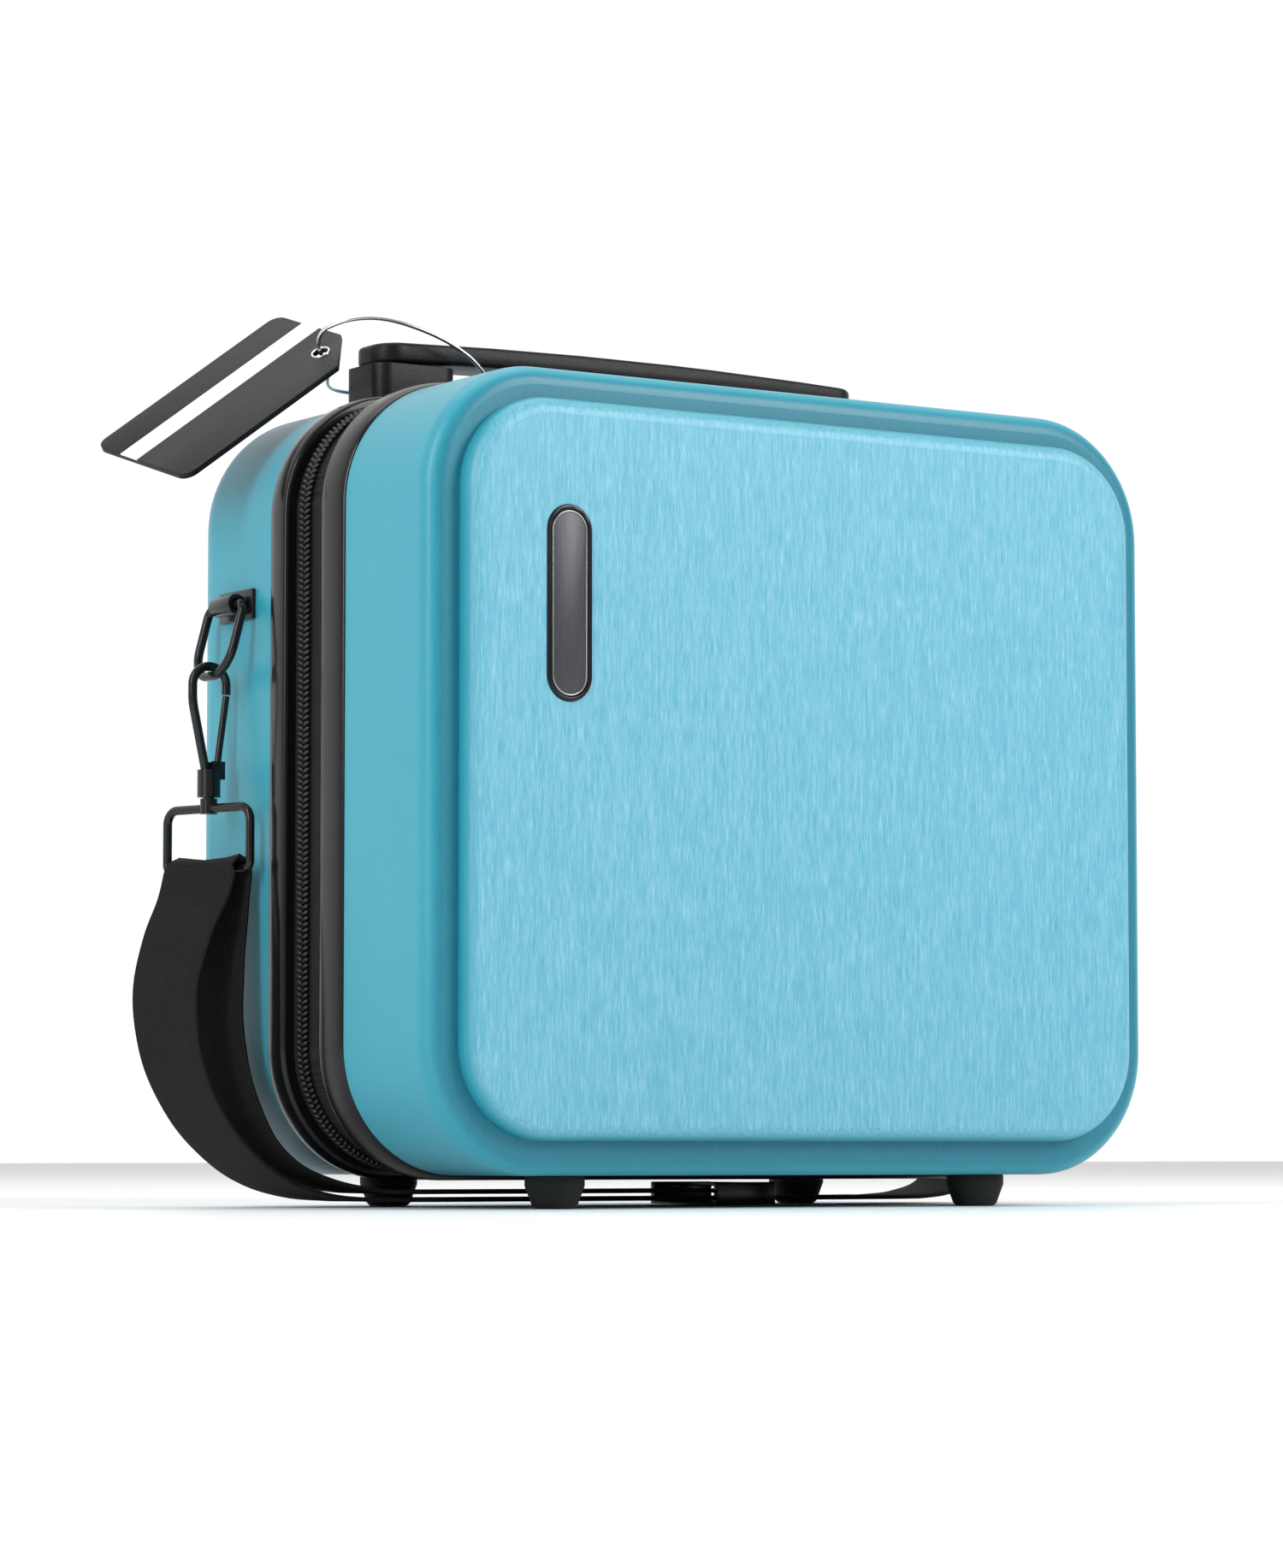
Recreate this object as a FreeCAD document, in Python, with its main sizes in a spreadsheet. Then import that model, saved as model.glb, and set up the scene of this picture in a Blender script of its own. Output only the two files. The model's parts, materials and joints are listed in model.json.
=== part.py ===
import FreeCAD, Part
import math
import os

import Sketcher
from FreeCAD import Rotation, Vector

# A small hard-shell zipped travel case laid out inside as a cable organiser.
# Frame: origin on the floor under the middle of the case, +Z up, -Y the front, +X right seen from
# the front.  Millimetres.  The front shell is the lid and turns on the fabric strip at the bottom.

doc = FreeCAD.newDocument("cable_case")

# ---------------------------------------------------------------- driving dimensions
DIMENSIONS = [
    ("case_width", 310.0, "outside width of both shells"),
    ("case_height", 280.0, "outside height of both shells"),
    ("corner_radius", 45.0, "outline corner radius"),
    ("foot_height", 11.5, "floor to shell bottom"),
    ("shell_wall", 2.4, "moulded shell wall"),
    ("front_mouth", -21.0, "y of the front shell's open edge"),
    ("front_wall_depth", 57.0, "front shell side wall"),
    ("panel_step", 9.0, "height of the raised front panel"),
    ("panel_inset", 12.0, "outline to raised panel"),
    ("shoulder_radius", 7.0, "rounded edge round the side wall"),
    ("back_mouth", 33.0, "y of the back shell's open edge"),
    ("back_depth", 59.0, "back shell side wall"),
    ("back_radius", 14.0, "rounded rear edge"),
    ("trim_width", 13.0, "rear frame strip, front to back"),
    ("front_trim_width", 16.0, "front frame strip, front to back"),
    ("trim_proud", 1.8, "frame strip outside the shell outline"),
    ("trim_thick", 5.0, "frame strip, outside to inside"),
    ("zip_plane", 12.0, "y where the two rows of teeth meet"),
    ("tape_sink", 3.0, "zip tape below the outline"),
    ("tape_thick", 1.2, "zip tape thickness"),
    ("teeth_width", 4.2, "one row of teeth, front to back"),
    ("teeth_height", 2.2, "one row of teeth above its tape"),
    ("part_gap", 0.3, "clearance between pieces of different bodies"),
    ("hinge_length", 220.0, "fabric hinge strip along the bottom"),
    ("lining_thick", 1.2, "fabric lining"),
    ("lining_gap", 0.4, "lining to shell"),
    ("badge_length", 68.0, "blank badge, long way"),
    ("badge_width", 18.0, "blank badge, short way"),
    ("badge_x", -104.0, "badge centre"),
    ("badge_z", 208.0, "badge centre above the floor"),
    ("badge_sink", 1.2, "recess for the badge"),
    ("foot_radius", 10.5, "rubber foot at the shell"),
    ("foot_tip_radius", 8.0, "rubber foot at the floor"),
    ("foot_x", 91.0, "feet from the middle"),
    ("foot_front_y", -57.0, "front feet"),
    ("foot_rear_y", 58.0, "rear feet"),
    ("handle_y", 49.5, "carry handle and its mounts"),
    ("handle_length", 214.0, "carry handle bar"),
    ("handle_width", 24.0, "carry handle bar, front to back"),
    ("handle_thick", 7.5, "carry handle bar thickness"),
    ("handle_rise", 17.0, "shell top to bar underside"),
    ("mount_x", 92.0, "handle mounts from the middle"),
    ("mount_length", 34.0, "handle mount along the case"),
    ("lug_y", 57.0, "strap lugs"),
    ("lug_z", 217.0, "strap lug pivot above the floor"),
    ("lug_plate_length", 25.0, "strap lug plate, front to back"),
    ("lug_plate_height", 11.0, "strap lug plate"),
    ("lug_plate_thick", 1.6, "strap lug plate"),
    ("lug_tube_length", 15.0, "strap lug tube, front to back"),
    ("wire_radius", 1.65, "D-ring, hook and strap ring wire"),
    ("hang_out", 12.0, "hook line outside the shell's side"),
    ("webbing_width", 38.0, "shoulder strap"),
    ("webbing_thick", 1.5, "shoulder strap"),
    ("tag_length", 92.0, "luggage tag"),
    ("tag_width", 54.0, "luggage tag"),
    ("tag_thick", 2.2, "luggage tag"),
    ("tag_card_width", 10.0, "white card strip let into the tag"),
    ("tag_cut", 16.0, "cut corner of the tag"),
    ("pocket_zip_rise", 45.0, "net pocket's zip above the middle of the case"),
    ("pocket_zip_thick", 1.2, "net pocket's zip"),
    ("tag_wire", 1.5, "tag wire diameter"),
]

sheet = doc.addObject("Spreadsheet::Sheet", "size")
for row, (alias, value, meaning) in enumerate(DIMENSIONS, start=1):
    sheet.set("A%d" % row, meaning)
    sheet.set("B%d" % row, str(value))
    sheet.setAlias("B%d" % row, alias)
doc.recompute()

probe = doc.addObject("App::FeaturePython", "probe")
probe.addProperty("App::PropertyFloat", "amount")
SUBPARTS = []


def amount(expression):
    """Value of an expression written in the sheet's aliases."""
    probe.setExpression("amount", expression)
    probe.recompute()
    return probe.amount


def register(item, label):
    """Name a finished sub-part and put it on the list that is written out."""
    item.Label = label
    SUBPARTS.append(item)
    return item


# ---------------------------------------------------------------- sketch helpers
def new_body(name):
    return doc.addObject("PartDesign::Body", name + "_body")


def sketch_on(body, role, name, offset="0"):
    """A sketch on one of the body's own origin planes, lifted along that plane's normal."""
    sketch = body.newObject("Sketcher::SketchObject", name)
    plane = next(item for item in body.Origin.OriginFeatures if item.Role == role)
    sketch.AttachmentSupport = [(plane, "")]
    sketch.MapMode = "FlatFace"
    sketch.setExpression("AttachmentOffset.Base.z", offset)
    return sketch


def bind(sketch, constraint, expression):
    index = sketch.addConstraint(constraint)
    sketch.setExpression("Constraints[%d]" % index, expression)


def rounded_rectangle(sketch, width, height, radius, centre=("0", "0")):
    """Four lines and four tangent arcs, tied to the sheet by expressions."""
    half_w = amount(width) / 2
    half_h = amount(height) / 2
    r = amount(radius)
    cx = amount(centre[0])
    cy = amount(centre[1])
    corners = [(1, 1, 0), (-1, 1, 90), (-1, -1, 180), (1, -1, 270)]
    arcs = []
    for sx, sy, start in corners:
        middle = Vector(cx + sx * (half_w - r), cy + sy * (half_h - r), 0)
        circle = Part.Circle(middle, Vector(0, 0, 1), r)
        arc = Part.ArcOfCircle(circle, math.radians(start), math.radians(start + 90))
        arcs.append(sketch.addGeometry(arc, False))
    lines = []
    ends = [
        (Vector(cx + half_w - r, cy + half_h, 0), Vector(cx - half_w + r, cy + half_h, 0)),
        (Vector(cx - half_w, cy + half_h - r, 0), Vector(cx - half_w, cy - half_h + r, 0)),
        (Vector(cx - half_w + r, cy - half_h, 0), Vector(cx + half_w - r, cy - half_h, 0)),
        (Vector(cx + half_w, cy - half_h + r, 0), Vector(cx + half_w, cy + half_h - r, 0)),
    ]
    for start, end in ends:
        lines.append(sketch.addGeometry(Part.LineSegment(start, end), False))
    for index in range(4):
        following = (index + 1) % 4
        sketch.addConstraint(Sketcher.Constraint("Tangent", arcs[index], 2, lines[index], 1))
        sketch.addConstraint(Sketcher.Constraint("Tangent", lines[index], 2, arcs[following], 1))
    for index in range(1, 4):
        sketch.addConstraint(Sketcher.Constraint("Equal", arcs[0], arcs[index]))
    sketch.addConstraint(Sketcher.Constraint("Horizontal", lines[0]))
    sketch.addConstraint(Sketcher.Constraint("Vertical", lines[1]))
    bind(sketch, Sketcher.Constraint("Radius", arcs[0], r), radius)
    origin = (-1, 1)
    bind(sketch, Sketcher.Constraint("DistanceX", *origin, lines[3], 2, cx + half_w),
         "(%s) + (%s)/2" % (centre[0], width))
    bind(sketch, Sketcher.Constraint("DistanceX", *origin, lines[1], 1, cx - half_w),
         "(%s) - (%s)/2" % (centre[0], width))
    bind(sketch, Sketcher.Constraint("DistanceY", *origin, lines[0], 1, cy + half_h),
         "(%s) + (%s)/2" % (centre[1], height))
    bind(sketch, Sketcher.Constraint("DistanceY", *origin, lines[2], 2, cy - half_h),
         "(%s) - (%s)/2" % (centre[1], height))


def pad(body, sketch, length, reversed_=False):
    feature = body.newObject("PartDesign::Pad", "Pad")
    feature.Profile = sketch
    feature.setExpression("Length", length)
    feature.Reversed = reversed_
    doc.recompute()
    return feature


def pocket(body, sketch, length, reversed_=False):
    """Cut a pocket, and stop the build if it removed nothing."""
    before = body.Shape.Volume
    feature = body.newObject("PartDesign::Pocket", "Pocket")
    feature.Profile = sketch
    feature.setExpression("Length", length)
    feature.Reversed = reversed_
    doc.recompute()
    if body.Shape.Volume > before - 0.001:
        raise RuntimeError("a pocket in %s cut nothing" % body.Name)
    return feature


def round_face_edges(body, feature, face_y, radius, reach):
    """Fillet the edges of the face at y = face_y that lie at least reach from the axis."""
    names = []
    for number, edge in enumerate(feature.Shape.Edges, start=1):
        box = edge.BoundBox
        flat = abs(box.YMin - face_y) < 0.01 and abs(box.YMax - face_y) < 0.01
        far = max(abs(box.XMin), abs(box.XMax), abs(box.ZMin), abs(box.ZMax)) > reach
        if flat and far:
            names.append("Edge%d" % number)
    fillet = body.newObject("PartDesign::Fillet", "Fillet")
    fillet.Base = (feature, names)
    fillet.setExpression("Radius", radius)
    doc.recompute()
    return fillet


def hollow_out(body, wall):
    """Turn a filleted block into an open tray: the flat face at y = 0 is left out."""
    solid = body.Tip
    mouth_face = None
    for number, face in enumerate(solid.Shape.Faces, start=1):
        if abs(face.BoundBox.YMin) < 0.01 and abs(face.BoundBox.YMax) < 0.01:
            mouth_face = "Face%d" % number
    before = solid.Shape.Volume
    feature = body.newObject("PartDesign::Thickness", "Wall")
    feature.Base = (solid, [mouth_face])
    feature.setExpression("Value", wall)
    feature.Reversed = True
    doc.recompute()
    if body.Shape.Volume > before / 2:
        raise RuntimeError("%s was not hollowed" % body.Name)


CASE_MIDDLE_Z = "size.foot_height + size.case_height/2"


def place(item, x="0", y="0", z="0"):
    """Bind a sub-part's position to the sheet."""
    item.setExpression("Placement.Base.x", x)
    item.setExpression("Placement.Base.y", y)
    item.setExpression("Placement.Base.z", z)


# ---------------------------------------------------------------- shells, frame strips and zip
def ring_body(label, mouth, depth, outer_drop, thickness, open_bottom=False):
    """A band that follows the case outline: outer_drop inside the outline, thickness inwards."""
    body = new_body(label)
    outer = ("size.case_width - 2*(%s)" % outer_drop, "size.case_height - 2*(%s)" % outer_drop,
             "size.corner_radius - (%s)" % outer_drop)
    inner_drop = "(%s) + (%s)" % (outer_drop, thickness)
    inner = ("size.case_width - 2*(%s)" % inner_drop, "size.case_height - 2*(%s)" % inner_drop,
             "size.corner_radius - (%s)" % inner_drop)
    outline = sketch_on(body, "XZ_Plane", "Outline")
    rounded_rectangle(outline, *outer)
    pad(body, outline, depth, True)
    hole = sketch_on(body, "XZ_Plane", "Hole")
    rounded_rectangle(hole, *inner)
    pocket(body, hole, "(%s) + 1" % depth, False)
    if open_bottom:
        gap = sketch_on(body, "XZ_Plane", "Bottom_gap")
        rounded_rectangle(gap, "size.hinge_length + 1", "20", "1", ("0", "-size.case_height/2"))
        pocket(body, gap, "(%s) + 1" % depth, False)
    place(body, y=mouth, z=CASE_MIDDLE_Z)
    return register(body, label)


def tray(label, mouth, depth, drop, wall, towards_front, edge_radius):
    """An open tray on the case outline: drop inside the outline, wall thick."""
    body = new_body(label)
    outline = sketch_on(body, "XZ_Plane", "Outline")
    rounded_rectangle(outline, "size.case_width - 2*(%s)" % drop,
                      "size.case_height - 2*(%s)" % drop, "size.corner_radius - (%s)" % drop)
    block = pad(body, outline, depth, not towards_front)
    side = -1 if towards_front else 1
    round_face_edges(body, block, side * amount(depth), edge_radius, amount("size.case_height/4"))
    hollow_out(body, wall)
    place(body, y=mouth, z=CASE_MIDDLE_Z)
    return register(body, label)


def front_shell():
    """The lid: side wall, rounded shoulder and a raised front panel with a badge recess."""
    body = new_body("front_shell")
    outline = sketch_on(body, "XZ_Plane", "Outline")
    rounded_rectangle(outline, "size.case_width", "size.case_height", "size.corner_radius")
    block = pad(body, outline, "size.front_wall_depth")
    wall_y = -amount("size.front_wall_depth")
    round_face_edges(body, block, wall_y, "size.shoulder_radius", 0)
    panel = ("size.case_width - 2*size.panel_inset", "size.case_height - 2*size.panel_inset",
             "size.corner_radius - size.panel_inset")
    raised = sketch_on(body, "XZ_Plane", "Panel", "size.front_wall_depth - 1")
    rounded_rectangle(raised, *panel)
    step = pad(body, raised, "size.panel_step + 1")
    panel_y = wall_y - amount("size.panel_step")
    round_face_edges(body, step, panel_y, "size.shoulder_radius - 1", 0)
    hollow = sketch_on(body, "XZ_Plane", "Hollow")
    rounded_rectangle(hollow, "size.case_width - 2*size.shell_wall",
                      "size.case_height - 2*size.shell_wall",
                      "size.corner_radius - size.shell_wall")
    pocket(body, hollow, "size.front_wall_depth - size.shoulder_radius", True)
    panel_hollow = sketch_on(body, "XZ_Plane", "Panel_hollow")
    rounded_rectangle(panel_hollow, panel[0] + " - 2*size.shell_wall",
                      panel[1] + " - 2*size.shell_wall", panel[2] + " - size.shell_wall")
    pocket(body, panel_hollow, "size.front_wall_depth + size.panel_step - 1.5*size.shell_wall", True)
    recess = sketch_on(body, "XZ_Plane", "Badge_recess", "size.front_wall_depth + size.panel_step")
    rounded_rectangle(recess, "size.badge_width + 0.4", "size.badge_length + 0.4",
                      "size.badge_width/2 + 0.19",
                      ("size.badge_x", "size.badge_z - (%s)" % CASE_MIDDLE_Z))
    pocket(body, recess, "size.badge_sink", False)
    place(body, y="size.front_mouth", z=CASE_MIDDLE_Z)
    return register(body, "front_shell")


LINING_DROP = "size.shell_wall + size.lining_gap"
TAPE_FRONT_Y = "size.front_mouth + size.front_trim_width"
TEETH_DROP = "size.tape_sink - size.teeth_height"
FRONT_TAPE_DEPTH = "size.zip_plane - size.part_gap/2 - (%s)" % TAPE_FRONT_Y
BACK_TAPE_DEPTH = "size.back_mouth - size.trim_width - size.zip_plane - size.part_gap/2"

front_shell()
tray("back_shell", "size.back_mouth", "size.back_depth", "0", "size.shell_wall", False,
     "size.back_radius")
tray("front_lining", "size.front_mouth", "size.front_wall_depth - size.shoulder_radius - 1",
     LINING_DROP, "size.lining_thick", True, "4")
tray("back_lining", "size.back_mouth", "size.back_depth - size.shell_wall - size.lining_gap",
     LINING_DROP, "size.lining_thick", False, "size.back_radius - 1")
ring_body("front_frame_strip", "size.front_mouth", "size.front_trim_width", "-size.trim_proud",
          "size.trim_thick + size.trim_proud")
ring_body("back_frame_strip", "size.back_mouth - size.trim_width", "size.trim_width",
          "-size.trim_proud", "size.trim_thick + size.trim_proud")
ring_body("front_zip_tape", TAPE_FRONT_Y, FRONT_TAPE_DEPTH, "size.tape_sink", "size.tape_thick",
          True)
ring_body("back_zip_tape", "size.zip_plane + size.part_gap/2", BACK_TAPE_DEPTH, "size.tape_sink",
          "size.tape_thick", True)
ring_body("front_zip_teeth", "size.zip_plane - size.part_gap/2 - size.teeth_width",
          "size.teeth_width", TEETH_DROP, "size.teeth_height", True)
ring_body("back_zip_teeth", "size.zip_plane + size.part_gap/2", "size.teeth_width", TEETH_DROP,
          "size.teeth_height", True)


# ---------------------------------------------------------------- simple blocks
def box(label, length, width, height, x, y, z):
    """A plain block, given by its size and its lowest corner."""
    item = doc.addObject("Part::Box", label)
    item.setExpression("Length", length)
    item.setExpression("Width", width)
    item.setExpression("Height", height)
    place(item, x, y, z)
    return register(item, label)


def slab_body(label, plane, width, height, radius, thickness, x, y, z):
    """A flat plate with rounded corners, padded from one of the origin planes."""
    body = new_body(label)
    outline = sketch_on(body, plane, "Outline")
    rounded_rectangle(outline, width, height, radius)
    pad(body, outline, thickness)
    place(body, x, y, z)
    return register(body, label)


def hinge_strip():
    """Fabric strip that joins the two frame strips along the bottom and lets the lid turn."""
    return box("hinge_strip", "size.hinge_length - 2", "25 - 2*size.part_gap", "size.tape_thick",
               "1 - size.hinge_length/2", TAPE_FRONT_Y + " + 2*size.part_gap",
               "size.foot_height + size.tape_sink - 1")


def badge():
    """A blank pill-shaped badge: a black surround with a plain plate inside it."""
    panel_face = "size.front_mouth - size.front_wall_depth - size.panel_step"
    body = new_body("badge_surround")
    outline = sketch_on(body, "XZ_Plane", "Outline")
    rounded_rectangle(outline, "size.badge_width", "size.badge_length", "size.badge_width/2 - 0.01")
    pad(body, outline, "size.badge_sink + 0.6")
    well = sketch_on(body, "XZ_Plane", "Well", "size.badge_sink + 0.6")
    rounded_rectangle(well, "size.badge_width - 3", "size.badge_length - 3",
                      "size.badge_width/2 - 1.51")
    pocket(body, well, "1", False)
    place(body, "size.badge_x", panel_face + " + size.badge_sink", "size.badge_z")
    register(body, "badge_surround")
    slab_body("badge_plate", "XZ_Plane", "size.badge_width - 3.4", "size.badge_length - 3.4",
              "size.badge_width/2 - 1.71", "0.7", "size.badge_x",
              panel_face + " + 0.4", "size.badge_z")


hinge_strip()
badge()


# ---------------------------------------------------------------- feet
def turned_body(label, profile, x, y, z, plane="XZ_Plane"):
    """A turned piece: profile is a closed list of (radius, height) points about the Z axis."""
    body = new_body(label)
    sketch = sketch_on(body, plane, "Profile")
    points = [Vector(radius, height, 0) for radius, height in profile]
    for start, end in zip(points, points[1:] + points[:1]):
        sketch.addGeometry(Part.LineSegment(start, end), False)
    count = len(points)
    for index in range(count):
        following = (index + 1) % count
        sketch.addConstraint(Sketcher.Constraint("Coincident", index, 2, following, 1))
    feature = body.newObject("PartDesign::Revolution", "Turned")
    feature.Profile = sketch
    feature.ReferenceAxis = (sketch, ["V_Axis"])
    feature.Angle = 360
    doc.recompute()
    place(body, x, y, z)
    return register(body, label)


def feet():
    """Four tapered rubber feet, each held by a screw from inside the shell."""
    top = amount("size.foot_height")
    wide = amount("size.foot_radius")
    narrow = amount("size.foot_tip_radius")
    bore = 1.9
    head = 3.6
    foot = [(bore, top), (wide, top), (wide, top - 3.5), (narrow, 1.2), (narrow - 1.2, 0),
            (head, 0), (head, 3.2), (bore, 3.2)]
    screw = [(0, top - 0.1), (bore - 0.1, top - 0.1), (bore - 0.1, 3.1), (head - 0.1, 3.1),
             (head - 0.1, 1.4), (0, 1.4)]
    for end, y in (("front", "size.foot_front_y"), ("rear", "size.foot_rear_y")):
        for side, sign in (("left", "-"), ("right", "")):
            turned_body("foot_%s_%s" % (end, side), foot, sign + "size.foot_x", y, "0")
            turned_body("foot_screw_%s_%s" % (end, side), screw, sign + "size.foot_x", y, "0")


feet()


# ---------------------------------------------------------------- round rod and ribbon helpers
def unit(vector):
    return vector / vector.Length


def runs_and_arcs(points, radii, closed=False):
    """A wire of straight runs joined by tangent arcs; radii has one value for each turn."""
    count = len(points)
    turns = range(count) if closed else range(1, count - 1)
    arcs = []
    for radius, index in zip(radii, turns):
        here = points[index]
        back = unit(points[index - 1] - here)
        ahead = unit(points[(index + 1) % count] - here)
        half_turn = (math.pi - back.getAngle(ahead)) / 2
        reach = radius * math.tan(half_turn)
        middle = here + unit(back + ahead) * (radius / math.cos(half_turn) - radius)
        arcs.append(Part.Arc(here + back * reach, middle, here + ahead * reach))
    ends = [points[0]]
    edges = []
    for arc in arcs:
        if not closed or edges:
            edges.append(Part.LineSegment(ends[-1], arc.StartPoint).toShape())
        edges.append(arc.toShape())
        ends.append(arc.EndPoint)
    last = arcs[0].StartPoint if closed else points[-1]
    edges.append(Part.LineSegment(ends[-1], last).toShape())
    return Part.Wire(edges)


def rod(points, radii, thickness, closed=False):
    """Round wire or tube of radius thickness along runs and arcs."""
    path = runs_and_arcs(points, radii, closed)
    first = path.Edges[0]
    start = first.valueAt(first.FirstParameter)
    along = first.tangentAt(first.FirstParameter)
    section = Part.Wire(Part.makeCircle(thickness, start, along))
    return path.makePipeShell([section], True, False)


def cylinder_between(start, end, radius):
    return Part.makeCylinder(radius, (end - start).Length, start, end - start)


def ribbon(stations, width, thickness):
    """A flat band lofted through (centre, width direction) stations."""
    centres = [centre for centre, _ in stations]
    sections = []
    for index, (centre, across) in enumerate(stations):
        ahead = centres[min(index + 1, len(centres) - 1)]
        behind = centres[max(index - 1, 0)]
        along = unit(ahead - behind)
        wide = unit(across - along * across.dot(along)) * (width / 2)
        thick = unit(along.cross(wide)) * (thickness / 2)
        corners = [centre + wide + thick, centre - wide + thick, centre - wide - thick,
                   centre + wide - thick]
        sections.append(Part.makePolygon(corners + corners[:1]))
    return Part.makeLoft(sections, True, True)


def shaped(label, shape):
    """A sub-part whose shape is worked out directly from the sheet's values."""
    item = doc.addObject("Part::Feature", label)
    item.Shape = shape
    return register(item, label)


# ---------------------------------------------------------------- carry handle
SHELL_TOP = amount("size.foot_height + size.case_height")
BAR_UNDER = SHELL_TOP + amount("size.handle_rise")
SIDES = (("left", -1), ("right", 1))


def handle_mounts():
    """Two blocks on top of the back shell; each has a well that guides the handle's leg."""
    for name, side in SIDES:
        body = new_body("handle_mount_" + name)
        outline = sketch_on(body, "XY_Plane", "Outline")
        rounded_rectangle(outline, "size.mount_length", "size.handle_width + 3", "6")
        pad(body, outline, "size.handle_rise - size.part_gap")
        well = sketch_on(body, "XY_Plane", "Well", "size.handle_rise - size.part_gap")
        rounded_rectangle(well, "15", "13", "0.4")
        pocket(body, well, "13.5")
        place(body, "%d*size.mount_x" % side, "size.handle_y", "%f" % SHELL_TOP)
        register(body, "handle_mount_" + name)


def carry_handle():
    """Slightly arched bar with two legs that slide up and down in the mounts."""
    half = amount("size.handle_length/2")
    thick = amount("size.handle_thick")
    wide = amount("size.handle_width")
    y = amount("size.handle_y")
    arch = 2.5
    front = y - wide / 2
    lower = Part.Arc(Vector(-half, front, BAR_UNDER), Vector(0, front, BAR_UNDER + arch),
                     Vector(half, front, BAR_UNDER))
    upper = Part.Arc(Vector(half, front, BAR_UNDER + thick),
                     Vector(0, front, BAR_UNDER + thick + arch),
                     Vector(-half, front, BAR_UNDER + thick))
    edges = [lower.toShape(), Part.LineSegment(lower.EndPoint, upper.StartPoint).toShape(),
             upper.toShape(), Part.LineSegment(upper.EndPoint, lower.StartPoint).toShape()]
    bar = Part.Face(Part.Wire(edges)).extrude(Vector(0, wide, 0))
    upright = [edge for edge in bar.Edges if edge.BoundBox.ZLength > thick - 0.1
               and edge.BoundBox.YLength < 0.1]
    bar = bar.makeFillet(9, upright)
    for _, side in SIDES:
        leg = Part.makeBox(14, 12, 12, Vector(side * amount("size.mount_x") - 7, y - 6,
                                              BAR_UNDER - 11.5))
        bar = bar.fuse(leg)
    return shaped("carry_handle", bar.removeSplitter())


def handle_screws():
    """Two screws up into each mount from inside the back shell."""
    solids = []
    inside = SHELL_TOP - amount(LINING_DROP + " + size.lining_thick")
    for _, side in SIDES:
        for offset in (-12.5, 12.5):
            foot = Vector(side * amount("size.mount_x") + offset, amount("size.handle_y"), inside)
            shank = Part.makeCylinder(1.5, 12, foot)
            head = Part.makeCylinder(3.2, 1.8, foot - Vector(0, 0, 1.8))
            solids.append(shank.fuse(head))
    return shaped("handle_screws", Part.makeCompound(solids))


handle_mounts()
carry_handle()
handle_screws()


# ---------------------------------------------------------------- strap hardware
HALF_WIDTH = amount("size.case_width/2")
LUG_Y = amount("size.lug_y")
LUG_Z = amount("size.lug_z")
WIRE = amount("size.wire_radius")
HANG_OUT = HALF_WIDTH + amount("size.hang_out")
PIVOT_OUT = HALF_WIDTH + 5
RING_DROP = 27.0
RING_TILT = math.asin((HANG_OUT - PIVOT_OUT) / RING_DROP)
LINK_Z = LUG_Z - RING_DROP * math.cos(RING_TILT)
CROWN_Z = LINK_Z + 2 * WIRE + 0.35
BARREL_BASE = CROWN_Z - 47.5
RING_TOP = BARREL_BASE - 4
RING_BOTTOM = RING_TOP - 22
RING_TWIST = math.radians(15)
SLIDE_UP = Vector(0, 0, 1)
ALONG_Y = Vector(0, 1, 0)


def at(side, out, y, z):
    """A point given by its distance from the middle plane; side is -1 left, 1 right."""
    return Vector(side * out, y, z)


def strap_lug(name, side):
    """Plate on the shell's side with a tube that the D-ring's bar turns in."""
    thick = amount("size.lug_plate_thick")
    long = amount("size.lug_plate_length")
    high = amount("size.lug_plate_height")
    tube_long = amount("size.lug_tube_length")
    plate_low = at(side, HALF_WIDTH + (0 if side > 0 else thick), LUG_Y - long / 2,
                   LUG_Z - high / 2)
    plate = Part.makeBox(thick, long, high, plate_low)
    web_low = at(side, HALF_WIDTH + (1 if side > 0 else 5), LUG_Y - tube_long / 2, LUG_Z - 2.8)
    web = Part.makeBox(4, tube_long, 5.6, web_low)
    start = at(side, PIVOT_OUT, LUG_Y - tube_long / 2, LUG_Z)
    tube = Part.makeCylinder(3.7, tube_long, start, ALONG_Y)
    bore = Part.makeCylinder(WIRE + 0.35, tube_long + 2, start - ALONG_Y, ALONG_Y)
    shaped("strap_lug_" + name, plate.fuse([web, tube]).cut(bore).removeSplitter())


def lug_rivets():
    """Two rivets through each lug plate and the shell wall."""
    solids = []
    for _, side in SIDES:
        for offset in (-10, 10):
            head = at(side, HALF_WIDTH + amount("size.lug_plate_thick"), LUG_Y + offset, LUG_Z)
            outward = Vector(side, 0, 0)
            rivet = Part.makeCylinder(1.9, 0.8, head, outward)
            solids.append(rivet.fuse(Part.makeCylinder(1.1, 5, head, -outward)))
    shaped("lug_rivets", Part.makeCompound(solids))


def d_ring(name, side):
    """Closed ring hanging from the lug, tilted out because the hook rests on the shell."""
    half = 13.0

    def hung(across, drop):
        return at(side, PIVOT_OUT + drop * math.sin(RING_TILT), LUG_Y + across,
                  LUG_Z - drop * math.cos(RING_TILT))

    corners = [hung(-half, 0), hung(half, 0), hung(half, RING_DROP), hung(-half, RING_DROP)]
    shaped("d_ring_" + name, rod(corners, [4, 4, 11, 11], WIRE, True))


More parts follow.
